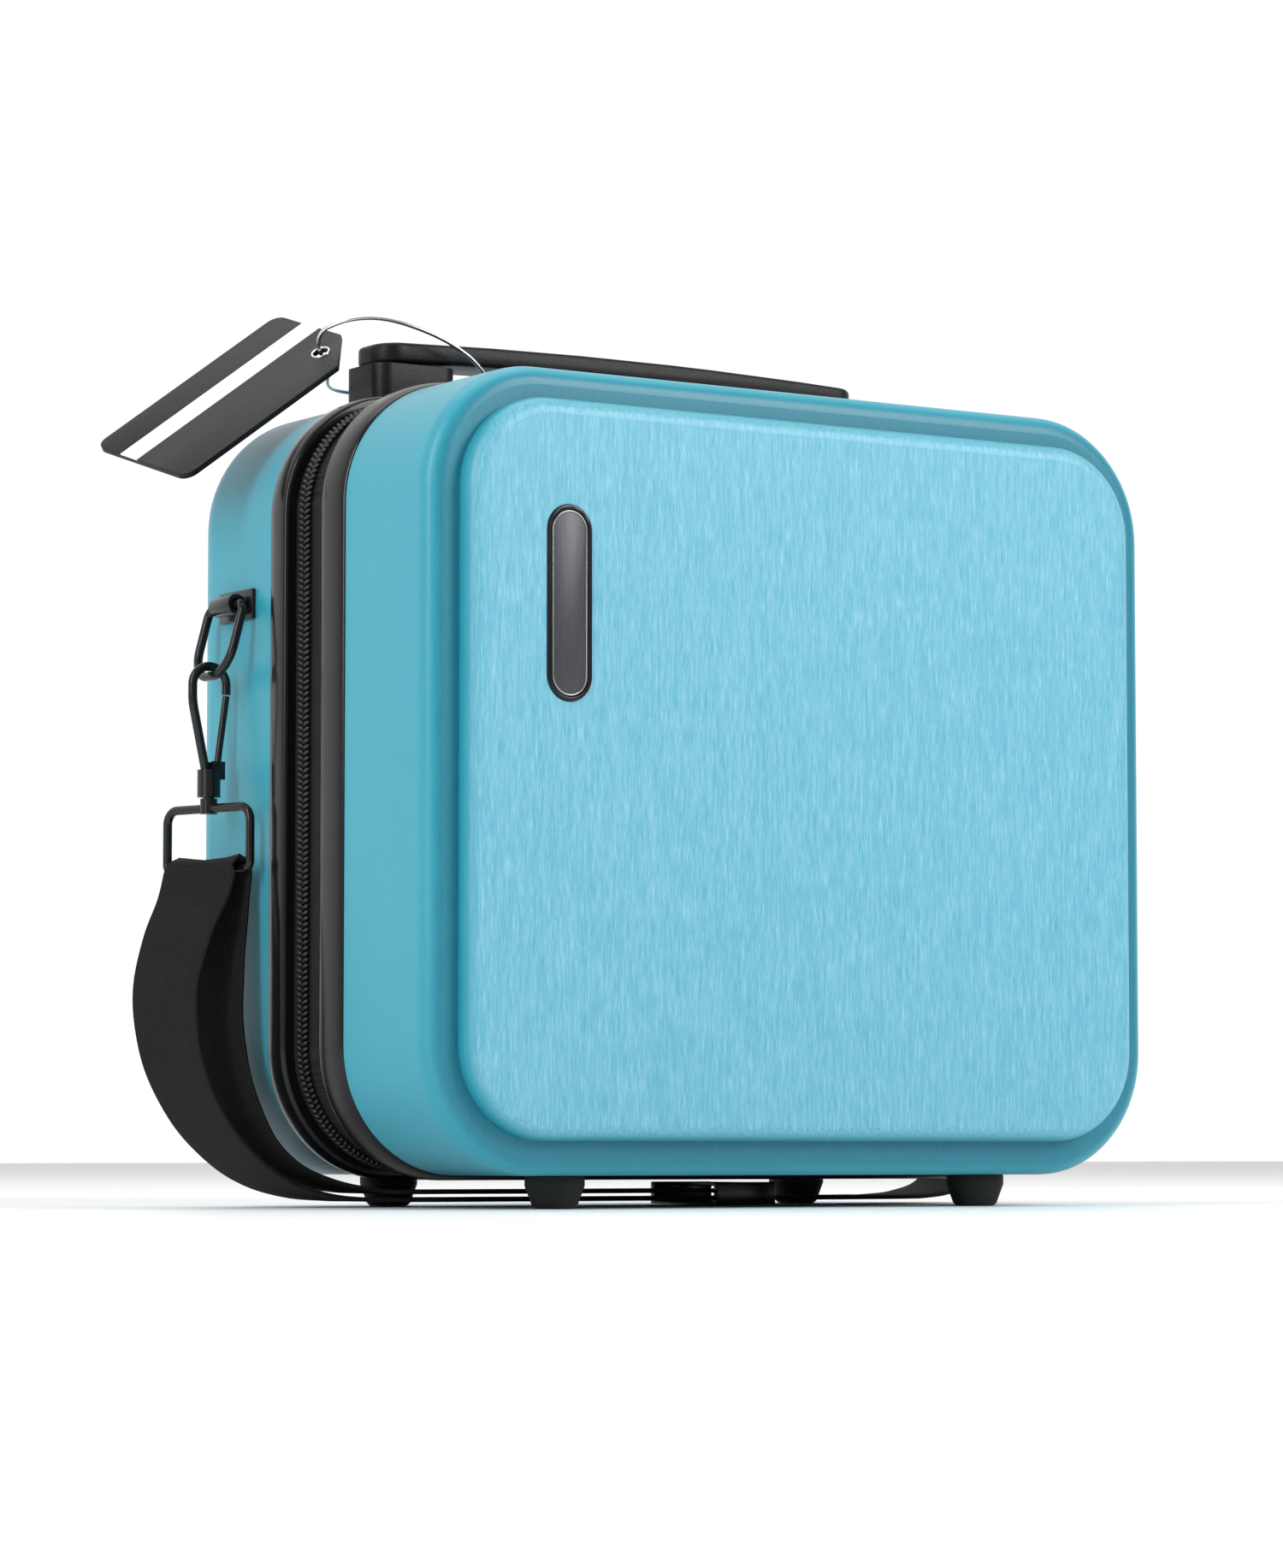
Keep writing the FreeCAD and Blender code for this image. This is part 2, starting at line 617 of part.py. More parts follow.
def snap_hook(name, side):
    """Pear-shaped hook: wire loop, swivel barrel, and two ears that hold the gate's pin."""
    points = [(-6.8, CROWN_Z - 10), (-6.8, CROWN_Z), (6.8, CROWN_Z), (6.8, CROWN_Z - 13),
              (0.8, BARREL_BASE + 7)]
    loop = rod([at(side, HANG_OUT + out, LUG_Y, z) for out, z in points], [6.7, 6.7, 24], WIRE)
    base = at(side, HANG_OUT, LUG_Y, BARREL_BASE)
    barrel = Part.makeCylinder(4.2, 10, base)
    bore = Part.makeCylinder(2.4, 6.5, base - SLIDE_UP * 0.5)
    pieces = [barrel]
    for face in (-3.1, 1.7):
        ear_low = at(side, HANG_OUT - (5 if side > 0 else 0), LUG_Y + face, BARREL_BASE + 6.5)
        pieces.append(Part.makeBox(5, 1.4, 6.5, ear_low))
    pin = Part.makeCylinder(0.8, 6.2, at(side, HANG_OUT - 3.2, LUG_Y - 3.1, BARREL_BASE + 11),
                            ALONG_Y)
    pieces.append(pin)
    clearance = Part.makeBox(5.2, 3.4, 3, at(side, HANG_OUT - (5.6 if side > 0 else 0.4),
                                             LUG_Y - 1.7, BARREL_BASE + 8.2))
    shape = loop.fuse(pieces).cut(clearance.cut(pin)).cut(bore)
    shaped("snap_hook_" + name, shape.removeSplitter())


def gate(name, side):
    """Sprung gate of the snap hook, turning on the hook's pin."""
    pin = at(side, HANG_OUT - 3.2, LUG_Y, BARREL_BASE + 11)
    tip = at(side, HANG_OUT - 6.8, LUG_Y, CROWN_Z - 10.6)
    knuckle = Part.makeCylinder(2.1, 2.8, pin - ALONG_Y * 1.4, ALONG_Y)
    bore = Part.makeCylinder(1.15, 4, pin - ALONG_Y * 2, ALONG_Y)
    arm = cylinder_between(pin + unit(tip - pin) * 1.6, tip, 1.3)
    shaped("hook_gate_" + name, knuckle.cut(bore).fuse(arm))


def across_ring(side):
    """Direction along the strap ring's bars: nearly front to back, a little twisted."""
    return Vector(-side * math.sin(RING_TWIST), -math.cos(RING_TWIST), 0)


def strap_ring(name, side):
    """Rectangular ring with a swivel post that turns in the hook's barrel."""
    half = amount("size.webbing_width/2") + 2.7
    middle = at(side, HANG_OUT, LUG_Y, 0)
    across = across_ring(side)
    corners = [middle + across * sign * half + Vector(0, 0, z) for sign, z in
               ((-1, RING_TOP), (1, RING_TOP), (1, RING_BOTTOM), (-1, RING_BOTTOM))]
    ring = rod(corners, [5, 5, 2.4, 2.4], WIRE, True)
    boss = Part.makeCylinder(3.1, 5.5, middle + Vector(0, 0, RING_TOP - 2))
    post = Part.makeCylinder(2.0, 9, middle + Vector(0, 0, RING_TOP))
    shaped("strap_ring_" + name, ring.fuse([boss, post]).removeSplitter())


for side_name, side_sign in SIDES:
    strap_lug(side_name, side_sign)
    d_ring(side_name, side_sign)
    snap_hook(side_name, side_sign)
    gate(side_name, side_sign)
    strap_ring(side_name, side_sign)
lug_rivets()


# ---------------------------------------------------------------- shoulder strap
STRAP_Y = 25.0
ADJUSTER_X = 30.0
OUTER_LAYER = [(173, 57, 111), (179.5, 57, 97), (184, 56, 80), (184.5, 54, 62), (181, 51, 45),
               (173, 47.5, 29), (162, 44, 16.5), (150, 41, 8.5), (136, 38, 4.2), (122, 35.5, 2.8),
               (110, 32.8, 2.6), (85, 25, 2.6), (60, 25, 2.6)]
INNER_LAYER = [(-31, 25, 5.4), (85, 25, 5.4), (110, 32.8, 5.5), (122, 35.5, 6.5), (134, 38, 9),
               (146, 41, 14), (155, 44, 22), (161.5, 47, 34), (165.5, 50, 48), (167.5, 53, 66),
               (167, 55, 86), (165.2, 56.5, 106)]
RIGHT_LAYER = [(60, 25, 2.6), (85, 25, 2.6), (110, 32.8, 2.6), (122, 35.5, 2.8),
               (136, 38, 4.2), (150, 41, 8.5), (160.5, 44, 18), (167, 47, 32), (171, 50, 50),
               (173.5, 53, 72), (173.2, 55.5, 94), (171.5, 57, 111)]
RIGHT_RETURN = [(165.6, 56.5, 110), (168.6, 55.5, 98), (170.2, 54, 86)]


def strap_across(side, z):
    """Width direction of the webbing: along the ring at the top, front to back at the floor."""
    share = min(1.0, max(0.0, z / RING_BOTTOM))
    twist = RING_TWIST * share
    return Vector(-side * math.sin(twist), -math.cos(twist), 0)


def layer(side, points):
    """Stations of one run of webbing."""
    return [(at(side, out, y, z), strap_across(side, z)) for out, y, z in points]


def ring_loop(side, from_inside):
    """Half a turn of webbing over the strap ring's lower bar."""
    bar = at(side, HANG_OUT, LUG_Y, RING_BOTTOM)
    across = across_ring(side)
    outward = Vector(side * math.cos(RING_TWIST), -math.sin(RING_TWIST), 0)
    radius = WIRE + amount("size.webbing_thick/2") + 0.6
    angles = range(180, -1, -30) if from_inside else range(0, 181, 30)
    stations = []
    for degrees in angles:
        turn = math.radians(degrees)
        stations.append((bar + outward * (radius * math.cos(turn))
                         + Vector(0, 0, radius * math.sin(turn)), across))
    return stations


def shoulder_strap():
    """One length of webbing: adjuster, left ring, under the case, right ring, stitched end."""
    left_inner = layer(-1, INNER_LAYER)
    left_outer = layer(-1, OUTER_LAYER)
    right = layer(1, RIGHT_LAYER)
    stations = (left_inner + ring_loop(-1, True) + left_outer + right + ring_loop(1, False)
                + layer(1, RIGHT_RETURN))
    length = sum((b[0] - a[0]).Length for a, b in zip(stations, stations[1:]))
    print("shoulder strap length %.0f mm" % length)
    return shaped("shoulder_strap", ribbon(stations, amount("size.webbing_width"),
                                           amount("size.webbing_thick")))


def strap_adjuster():
    """Slide adjuster on the stretch under the case: two rails, two low bars and a centre bar."""
    half_length = 13.0
    rail_inside = amount("size.webbing_width/2") + 0.8
    low = 0.3
    high = 8.6
    solids = []
    for sign in (-1, 1):
        y = STRAP_Y + (rail_inside if sign > 0 else -rail_inside - 3)
        solids.append(Part.makeBox(2 * half_length, 3, high - low,
                                   Vector(ADJUSTER_X - half_length, y, low)))
        x = ADJUSTER_X + (half_length - 3 if sign > 0 else -half_length)
        solids.append(Part.makeBox(3, 2 * rail_inside, 1.1,
                                   Vector(x, STRAP_Y - rail_inside, low)))
    solids.append(Part.makeBox(3, 2 * rail_inside, 1.6,
                               Vector(ADJUSTER_X - 1.5, STRAP_Y - rail_inside, high - 1.6)))
    return shaped("strap_adjuster", solids[0].fuse(solids[1:]).removeSplitter())


shoulder_strap()
strap_adjuster()


# ---------------------------------------------------------------- zip sliders and pulls
TEETH_TOP = SHELL_TOP - amount(TEETH_DROP)
SLIDER_X = 11.0


def zip_slider(name, side):
    """Slider body with a low bridge that carries its pull."""
    y = amount("size.zip_plane")
    low = TEETH_TOP + amount("size.part_gap")
    plate = Part.makeBox(17, 11, 2.4, Vector(side * SLIDER_X - 8.5, y - 5.5, low))
    upright = [edge for edge in plate.Edges if edge.BoundBox.ZLength > 2]
    plate = plate.makeFillet(2.5, upright)
    bridge = rod([Vector(side * SLIDER_X - 5, y, low + 1), Vector(side * SLIDER_X - 5, y, low + 6.6),
                  Vector(side * SLIDER_X + 5, y, low + 6.6), Vector(side * SLIDER_X + 5, y, low + 1)],
                 [3.5, 3.5], 0.9)
    shaped("zip_slider_" + name, plate.fuse(bridge).removeSplitter())


def zip_pull(name, side):
    """Pull lying along the zip: a wire link through the bridge and a flat grip."""
    y = amount("size.zip_plane")
    z = TEETH_TOP + 2 * amount("size.part_gap") + 2.4 + 1.0
    eye = side * SLIDER_X
    corners = [Vector(eye, y - 3, z), Vector(eye + side * 11, y - 3, z),
               Vector(eye + side * 11, y + 3, z), Vector(eye, y + 3, z)]
    link = rod(corners, [1.6, 1.6, 1.6, 1.6], 0.8, True)
    low_x = min(eye + side * 10, eye + side * 28)
    grip = Part.makeBox(18, 7, 1.6, Vector(low_x, y - 3.5, z - 0.8))
    upright = [edge for edge in grip.Edges if edge.BoundBox.ZLength > 1.5]
    shaped("zip_pull_" + name, link.fuse(grip.makeFillet(2.2, upright)).removeSplitter())


for side_name, side_sign in SIDES:
    zip_slider(side_name, side_sign)
    zip_pull(side_name, side_sign)


# ---------------------------------------------------------------- luggage tag on its wire
TAG_HOLE = Vector(-122, 56, 312)
TAG_DOWN = unit(Vector(-0.804, 0.022, -0.593))
TAG_FACING = unit(TAG_DOWN.cross(Vector(0.199, -0.931, -0.306)))


def tag_frame():
    """Rotation whose X runs down the tag from its hole end and whose Z is the tag's face."""
    return Rotation(TAG_DOWN, TAG_FACING.cross(TAG_DOWN), TAG_FACING, "ZXY")


def set_on_tag(shape, lift):
    """Move a shape drawn round the tag's hole on to the tag."""
    moved = shape.copy()
    moved.Placement = FreeCAD.Placement(TAG_HOLE + TAG_FACING * lift, tag_frame())
    return moved


def rounded_plate(x, y, length, width, radius, thickness):
    plate = Part.makeBox(length, width, thickness, Vector(x, y, 0))
    upright = [edge for edge in plate.Edges if edge.BoundBox.ZLength > thickness / 2]
    return plate.makeFillet(radius, upright)


def luggage_tag():
    """Flat black holder with a slot for the white card, one cut corner, and a hole for the wire."""
    length = amount("size.tag_length")
    width = amount("size.tag_width")
    thick = amount("size.tag_thick")
    card = amount("size.tag_card_width")
    cut = amount("size.tag_cut")
    end = -12.0
    low_side = 14.3
    slot_play = 0.2
    slot_deep = 0.5
    plate = rounded_plate(end, low_side - width, length, width, 5, thick)
    corner = [Vector(end - 1, low_side - cut - 1, -1), Vector(end + cut + 1, low_side + 1, -1),
              Vector(end - 1, low_side + 1, -1)]
    wedge = Part.Face(Part.makePolygon(corner + corner[:1])).extrude(Vector(0, 0, thick + 2))
    slot_side = low_side - width + 14.8
    slot = Part.makeBox(length + 2, card + 2 * slot_play, 1,
                        Vector(end - 1, slot_side, thick - slot_deep))
    hole = Part.makeCylinder(3.2, thick + 2, Vector(0, 0, -1))
    shaped("tag_holder", set_on_tag(plate.cut([wedge, slot, hole]), -thick / 2))
    strip = Part.makeBox(length, card, 0.4, Vector(end, slot_side + slot_play, 0))
    shaped("tag_strip", set_on_tag(strip, thick / 2 - slot_deep))


WIRE_ROUTE = [(-61, 33, 300), (-68, 31, 309), (-82, 31, 317), (-97, 33, 322), (-109, 36.5, 324.5),
              (-119.5, 42.5, 323.5), (-127.2, 52.6, 318.9), (-117.5, 58.9, 306), (-113, 68, 302.5),
              (-104, 73.5, 302), (-90, 75.5, 302.5), (-76, 73.5, 303), (-66, 68, 302),
              (-60.5, 60, 300.5), (-58.5, 51, 299.5), (-59.5, 41.5, 299)]


def wire_length_check(path, radius, solid):
    """The swept volume has to be the section times the path's length."""
    expected = math.pi * radius ** 2 * path.Length
    if abs(solid.Volume / expected - 1) > 0.02:
        raise RuntimeError("the tag wire's tube is not sound")
    print("tag wire %.0f mm" % path.Length)


def tag_wire():
    """Steel cable loop: round the left end of the handle bar and through the tag's hole."""
    points = [Vector(*point) for point in WIRE_ROUTE]
    radii = []
    for before, here, after in zip(points, points[1:], points[2:]):
        back = unit(before - here)
        ahead = unit(after - here)
        half_turn = (math.pi - back.getAngle(ahead)) / 2
        shorter = min((before - here).Length, (after - here).Length)
        radii.append(0.45 * shorter / math.tan(half_turn))
    print("tag wire radii", " ".join("%.1f" % radius for radius in radii))
    thickness = amount("size.tag_wire/2")
    solid = rod(points, radii, thickness)
    wire_length_check(runs_and_arcs(points, radii), thickness, solid)
    shaped("tag_wire", solid)
    first = points[0]
    last = points[-1]
    along = unit(last - first)
    screw = Part.makeCylinder(2.4, (last - first).Length + 1, first - along * 0.5, along)
    knob = Part.makeCylinder(2.9, 3, (first + last) / 2 - along * 1.5, along)
    shaped("tag_wire_clasp", screw.fuse(knob).removeSplitter())


luggage_tag()
tag_wire()


# ---------------------------------------------------------------- inside: cable organiser
PULL_KNUCKLE = 1.0
LINING_FACE = ("size.front_mouth - size.front_wall_depth + size.shoulder_radius + 1"
               " + size.lining_thick")
POCKET_ZIP_Y = LINING_FACE + " + 1.6"


def organiser():
    """Padded board with elastic cable bands in the base, zipped net pocket in the lid."""
    board = "size.back_mouth + size.back_depth - 10"
    slab_body("organiser_board", "XZ_Plane", "250", "220", "18", "4.5", "0",
              board + " + 4.5", CASE_MIDDLE_Z)
    for name, rise in (("upper", "45"), ("lower", "-45")):
        slab_body("elastic_bands_" + name, "XZ_Plane", "236", "24", "2", "1.4", "0",
                  board + " - 0.2", CASE_MIDDLE_Z + " + " + rise)
    slab_body("net_pocket", "XZ_Plane", "250", "140", "8", "0.8", "0",
              LINING_FACE + " + 1.2", CASE_MIDDLE_Z + " - 30")
    slab_body("pocket_zip", "XZ_Plane", "250", "9", "1", "size.pocket_zip_thick", "0",
              POCKET_ZIP_Y, CASE_MIDDLE_Z + " + size.pocket_zip_rise")


def pocket_runner():
    """Slider of the net pocket's zip with its two ears and pin, and the pull that turns on it."""
    x = -112
    z = amount(CASE_MIDDLE_Z + " + size.pocket_zip_rise")
    plate_thick = 2.2
    back = amount(POCKET_ZIP_Y + " + size.part_gap")
    front = back + plate_thick
    plate = Part.makeBox(11, plate_thick, 8, Vector(x - 5.5, back, z - 4))
    upright = [edge for edge in plate.Edges if edge.BoundBox.YLength > 2]
    slider = plate.makeFillet(2, upright)
    pin_y = front + PULL_KNUCKLE + 0.2
    pin_z = z + 1
    for ear_x in (x - 4.6, x + 3.4):
        ear = cylinder_between(Vector(ear_x, pin_y, pin_z), Vector(ear_x + 1.2, pin_y, pin_z), 1.1)
        foot = Part.makeBox(1.2, pin_y - front + 0.5, 2.2, Vector(ear_x, front - 0.5, pin_z - 1.1))
        slider = slider.fuse(ear).fuse(foot)
    pin = cylinder_between(Vector(x - 4, pin_y, pin_z), Vector(x + 4, pin_y, pin_z), 0.5)
    shaped("pocket_slider", slider.fuse(pin).removeSplitter())

    knuckle = cylinder_between(Vector(x - 3, pin_y, pin_z), Vector(x + 3, pin_y, pin_z), PULL_KNUCKLE)
    tongue = Part.makeBox(5, 1.2, 19, Vector(x - 2.5, pin_y - 0.6, pin_z - 19))
    corners = [edge for edge in tongue.Edges
               if edge.BoundBox.YLength > 1 and edge.BoundBox.ZMax < pin_z - 10]
    bore = cylinder_between(Vector(x - 4, pin_y, pin_z), Vector(x + 4, pin_y, pin_z), 0.65)
    pull = knuckle.fuse(tongue.makeFillet(2, corners)).cut(bore)
    shaped("pocket_pull", pull.removeSplitter())


organiser()
pocket_runner()


# ---------------------------------------------------------------- check and write
def check_document():
    """Stop if any object failed or any sub-part is empty, invalid or not solid."""
    doc.recompute()
    for item in doc.Objects:
        if "Invalid" in item.State or "Error" in item.State:
            raise RuntimeError("%s did not build: %s" % (item.Label, item.State))
    for item in SUBPARTS:
        shape = item.Shape
        if shape.isNull() or not shape.isValid() or not shape.Solids:
            raise RuntimeError("%s has no valid solid" % item.Label)


check_document()
os.makedirs("parts", exist_ok=True)
for item in SUBPARTS:
    item.Shape.exportStep("parts/%s.step" % item.Label)
    solid_box = item.Shape.BoundBox
    print("%-24s %9.1f mm3  x %7.1f %7.1f  y %7.1f %7.1f  z %7.1f %7.1f" % (
        item.Label, item.Shape.Volume, solid_box.XMin, solid_box.XMax, solid_box.YMin,
        solid_box.YMax, solid_box.ZMin, solid_box.ZMax))
print(len(SUBPARTS), "sub-parts written")
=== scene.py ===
# %% [markdown]
# # A small zipped travel case, dressed in Blender
#
# The shape, sizes and joints of this case come from its CAD model. This lesson gives it its looks:
# moulded shells, a coil zip, webbing, black hardware, a luggage tag on a steel loop, and the cable
# organiser inside. Every piece is placed from the frame, so nothing is fitted by eye.

# %% Load the frame
import json
import math

import bmesh
import bpy
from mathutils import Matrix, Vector


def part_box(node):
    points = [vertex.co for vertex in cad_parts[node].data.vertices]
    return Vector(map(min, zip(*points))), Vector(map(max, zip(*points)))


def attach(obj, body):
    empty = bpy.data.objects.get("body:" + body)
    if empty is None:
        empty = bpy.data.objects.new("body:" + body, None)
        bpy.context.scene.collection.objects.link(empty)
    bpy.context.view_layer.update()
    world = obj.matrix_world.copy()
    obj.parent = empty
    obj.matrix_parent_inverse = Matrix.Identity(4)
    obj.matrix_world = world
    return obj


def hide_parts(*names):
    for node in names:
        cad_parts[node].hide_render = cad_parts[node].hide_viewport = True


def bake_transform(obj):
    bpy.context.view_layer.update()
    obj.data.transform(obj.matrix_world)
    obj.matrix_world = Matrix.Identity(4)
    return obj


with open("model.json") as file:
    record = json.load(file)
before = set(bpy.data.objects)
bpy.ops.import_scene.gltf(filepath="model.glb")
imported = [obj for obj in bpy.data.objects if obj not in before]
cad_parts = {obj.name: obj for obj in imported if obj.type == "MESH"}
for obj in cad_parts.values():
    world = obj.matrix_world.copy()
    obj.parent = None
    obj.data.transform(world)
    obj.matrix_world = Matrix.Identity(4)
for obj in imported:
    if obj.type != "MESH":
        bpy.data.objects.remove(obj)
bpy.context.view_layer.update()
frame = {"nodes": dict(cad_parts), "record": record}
nodes = frame["nodes"]
MM = 0.001
print("frame loaded:", len(nodes), "nodes")

# %% [markdown]
# ## Camera and light
#
# The case is seen from its front left through a long lens, from just above the surface it stands on.
# So its top is out of sight and its upper edges fall away from the near corner. The aim point is
# worked out from the frame's own box, so the view stays centred if a size changes.

# %% Camera
VIEW_AZIMUTH = math.radians(-33)
VIEW_DISTANCE = 1.8
EYE_HEIGHT = 0.02
VIEW_WIDTH = 0.47
SENSOR = 36
shell_low, shell_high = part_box("back_shell")
aim = Vector((-0.018, 0, shell_high.z * 0.53))
toward_camera = Vector((math.sin(VIEW_AZIMUTH), -math.cos(VIEW_AZIMUTH), 0))
eye = Vector((aim.x, aim.y, 0)) + toward_camera * VIEW_DISTANCE + Vector((0, 0, EYE_HEIGHT))

camera_data = bpy.data.cameras.new("camera")
camera_data.sensor_fit = "HORIZONTAL"
camera_data.sensor_width = SENSOR
camera_data.lens = SENSOR * VIEW_DISTANCE / VIEW_WIDTH
camera = bpy.data.objects.new("camera", camera_data)
camera.location = eye
camera.rotation_euler = (aim - eye).to_track_quat("-Z", "Y").to_euler()
bpy.context.scene.collection.objects.link(camera)
bpy.context.scene.camera = camera
print("camera at", [round(value, 3) for value in eye])

# %% [markdown]
# ## Materials
#
# Each finish is a small node tree. They all share a few moves: object coordinates stretched along
# one axis for a grain, noise for unevenness, and a bump made from the same pattern as the colour, so
# that light and colour agree. Plain numbers go straight on the shader.

# %% Node helpers
materials = {}


def new_material(name, color, roughness, **sockets):
    """A material with one Principled shader; returns the material and its tree."""
    material = bpy.data.materials.new(name)
    material.use_nodes = True
    tree = material.node_tree
    shader = tree.nodes["Principled BSDF"]
    shader.inputs["Base Color"].default_value = (*color, 1)
    shader.inputs["Roughness"].default_value = roughness
    for socket, value in sockets.items():
        shader.inputs[socket.replace("_", " ")].default_value = value
    materials[name] = material
    return tree, shader


def coordinates(tree, scale, kind="Object"):
    """Object (or UV) coordinates, stretched by a scale for each axis."""
    source = tree.nodes.new("ShaderNodeTexCoord")
    mapping = tree.nodes.new("ShaderNodeMapping")
    mapping.inputs["Scale"].default_value = scale
    tree.links.new(source.outputs[kind], mapping.inputs["Vector"])
    return mapping.outputs["Vector"]


def noise(tree, scale, detail=3.0, roughness=0.5, kind="Object"):
    node = tree.nodes.new("ShaderNodeTexNoise")
    node.inputs["Scale"].default_value = 1.0
    node.inputs["Detail"].default_value = detail
    node.inputs["Roughness"].default_value = roughness
    tree.links.new(coordinates(tree, scale, kind), node.inputs["Vector"])
    return node.outputs["Fac"]


def waves(tree, scale, direction="X", kind="Object", distortion=0.0):
    node = tree.nodes.new("ShaderNodeTexWave")
    node.bands_direction = direction
    node.inputs["Scale"].default_value = 1.0
    node.inputs["Distortion"].default_value = distortion
    tree.links.new(coordinates(tree, scale, kind), node.inputs["Vector"])
    return node.outputs["Fac"]


def combine(tree, operation, first, second):
    """A Math node; each input is a socket or a number."""
    node = tree.nodes.new("ShaderNodeMath")
    node.operation = operation
    for index, value in enumerate((first, second)):
        if isinstance(value, (int, float)):
            node.inputs[index].default_value = value
        else:
            tree.links.new(value, node.inputs[index])
    return node.outputs[0]


def ramp(tree, factor, stops):
    """Colour ramp: stops is a list of (position, colour)."""
    node = tree.nodes.new("ShaderNodeValToRGB")
    elements = node.color_ramp.elements
    while len(elements) < len(stops):
        elements.new(0.5)
    for element, (position, color) in zip(elements, stops):
        element.position = position
        element.color = (*color, 1)
    tree.links.new(factor, node.inputs["Fac"])
    return node.outputs["Color"]


def mix_colors(tree, factor, first, second):
    """A colour mix of two sockets."""
    node = tree.nodes.new("ShaderNodeMix")
    node.data_type = "RGBA"
    tree.links.new(factor, node.inputs[0])
    tree.links.new(first, node.inputs[6])
    tree.links.new(second, node.inputs[7])
    return node.outputs[2]


def bump(tree, shader, height, strength, distance):
    node = tree.nodes.new("ShaderNodeBump")
    node.inputs["Strength"].default_value = strength
    node.inputs["Distance"].default_value = distance
    tree.links.new(height, node.inputs["Height"])
    tree.links.new(node.outputs["Normal"], shader.inputs["Normal"])


def link_range(tree, factor, socket, low, high):
    """Drive a roughness-like socket between two values."""
    node = tree.nodes.new("ShaderNodeMapRange")
    node.inputs["To Min"].default_value = low
    node.inputs["To Max"].default_value = high
    tree.links.new(factor, node.inputs["Value"])
    tree.links.new(node.outputs["Result"], socket)

# %% [markdown]
# The shells are thin moulded sheet with a printed, brushed-looking film. The grain is noise squeezed
# across and stretched upwards. It is strong on the raised front panel and faint on the walls, so a
# mask made from the object's own depth coordinate turns it up only there. A narrow band at the foot of
# the raised panel is painted a darker teal: painted shade, standing in for the shadow in that groove.

# %% Shell film
PANEL_STEP = 0.009


def shell_film(name, panel_front):
    tree, shader = new_material(name, (0.05, 0.4, 0.52), 0.36, Coat_Weight=0.12, Coat_Roughness=0.25,
                                Specular_IOR_Level=0.4)
    fine = noise(tree, (2000, 2000, 150), 4, 0.65)
    broad = noise(tree, (800, 800, 75), 2, 0.5)
    cloud = noise(tree, (9, 9, 7), 2, 0.5)
    grain = combine(tree, "ADD", combine(tree, "MULTIPLY", fine, 0.7),
                    combine(tree, "MULTIPLY", broad, 0.3))
    panel = ramp(tree, grain, [(0.34, (0.085, 0.385, 0.51)), (0.50, (0.15, 0.465, 0.60)),
                               (0.68, (0.29, 0.59, 0.71))])
    wall = ramp(tree, combine(tree, "ADD", combine(tree, "MULTIPLY", grain, 0.4),
                              combine(tree, "MULTIPLY", cloud, 0.6)),
                [(0.35, (0.026, 0.305, 0.405)), (0.65, (0.044, 0.365, 0.465))])
    depth = tree.nodes.new("ShaderNodeSeparateXYZ")
    tree.links.new(coordinates(tree, (1, 1, 1)), depth.inputs[0])
    mask = tree.nodes.new("ShaderNodeMapRange")
    mask.inputs["From Min"].default_value = panel_front + 0.0035
    mask.inputs["From Max"].default_value = panel_front + 0.0006
    tree.links.new(depth.outputs["Y"], mask.inputs["Value"])
    color = mix_colors(tree, mask.outputs["Result"], wall, panel)
    # Painted shade: where the depth is close to the foot of the panel step, the colour is mixed towards
    # a darker teal, standing in for the shadow in the groove.
    from_groove = tree.nodes.new("ShaderNodeMath")
    from_groove.operation = "SUBTRACT"
    tree.links.new(depth.outputs["Y"], from_groove.inputs[0])
    from_groove.inputs[1].default_value = panel_front + PANEL_STEP
    distance = tree.nodes.new("ShaderNodeMath")
    distance.operation = "ABSOLUTE"
    tree.links.new(from_groove.outputs["Value"], distance.inputs[0])
    clear = tree.nodes.new("ShaderNodeMapRange")
    clear.inputs["From Min"].default_value = 0.0002
    clear.inputs["From Max"].default_value = 0.0018
    tree.links.new(distance.outputs["Value"], clear.inputs["Value"])
    # Darker teal used for the painted groove shade.
    painted_groove_shade = ramp(tree, grain, [(0.3, (0.012, 0.19, 0.27)), (0.7, (0.020, 0.24, 0.33))])
    tree.links.new(mix_colors(tree, clear.outputs["Result"], painted_groove_shade, color),
                   shader.inputs["Base Color"])
    link_range(tree, grain, shader.inputs["Roughness"], 0.28, 0.48)
    height = combine(tree, "MULTIPLY", grain,
                     combine(tree, "ADD", combine(tree, "MULTIPLY", mask.outputs["Result"], 0.75), 0.25))
    bump(tree, shader, height, 0.35, 0.0004)


front_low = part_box("front_shell")[0]
shell_film("shell_film", front_low.y)
print("panel face at y =", round(front_low.y, 4))

# %% [markdown]
# Black parts differ mostly in gloss. The frame strips are polished moulding, the handle is satin
# with a fine leather-like grain, the metal is painted, and the feet are dull rubber. Giving each its
# own roughness and bump is what makes them read as different things.

# %% Plastics, metals and rubber


def speckled(name, color, roughness, spread, scale, strength, distance, **sockets):
    """A finish whose roughness and bump follow one noise."""
    tree, shader = new_material(name, color, roughness, **sockets)
    pattern = noise(tree, (scale, scale, scale), 4, 0.55)
    link_range(tree, pattern, shader.inputs["Roughness"], roughness - spread, roughness + spread)
    bump(tree, shader, pattern, strength, distance)
    return tree, shader


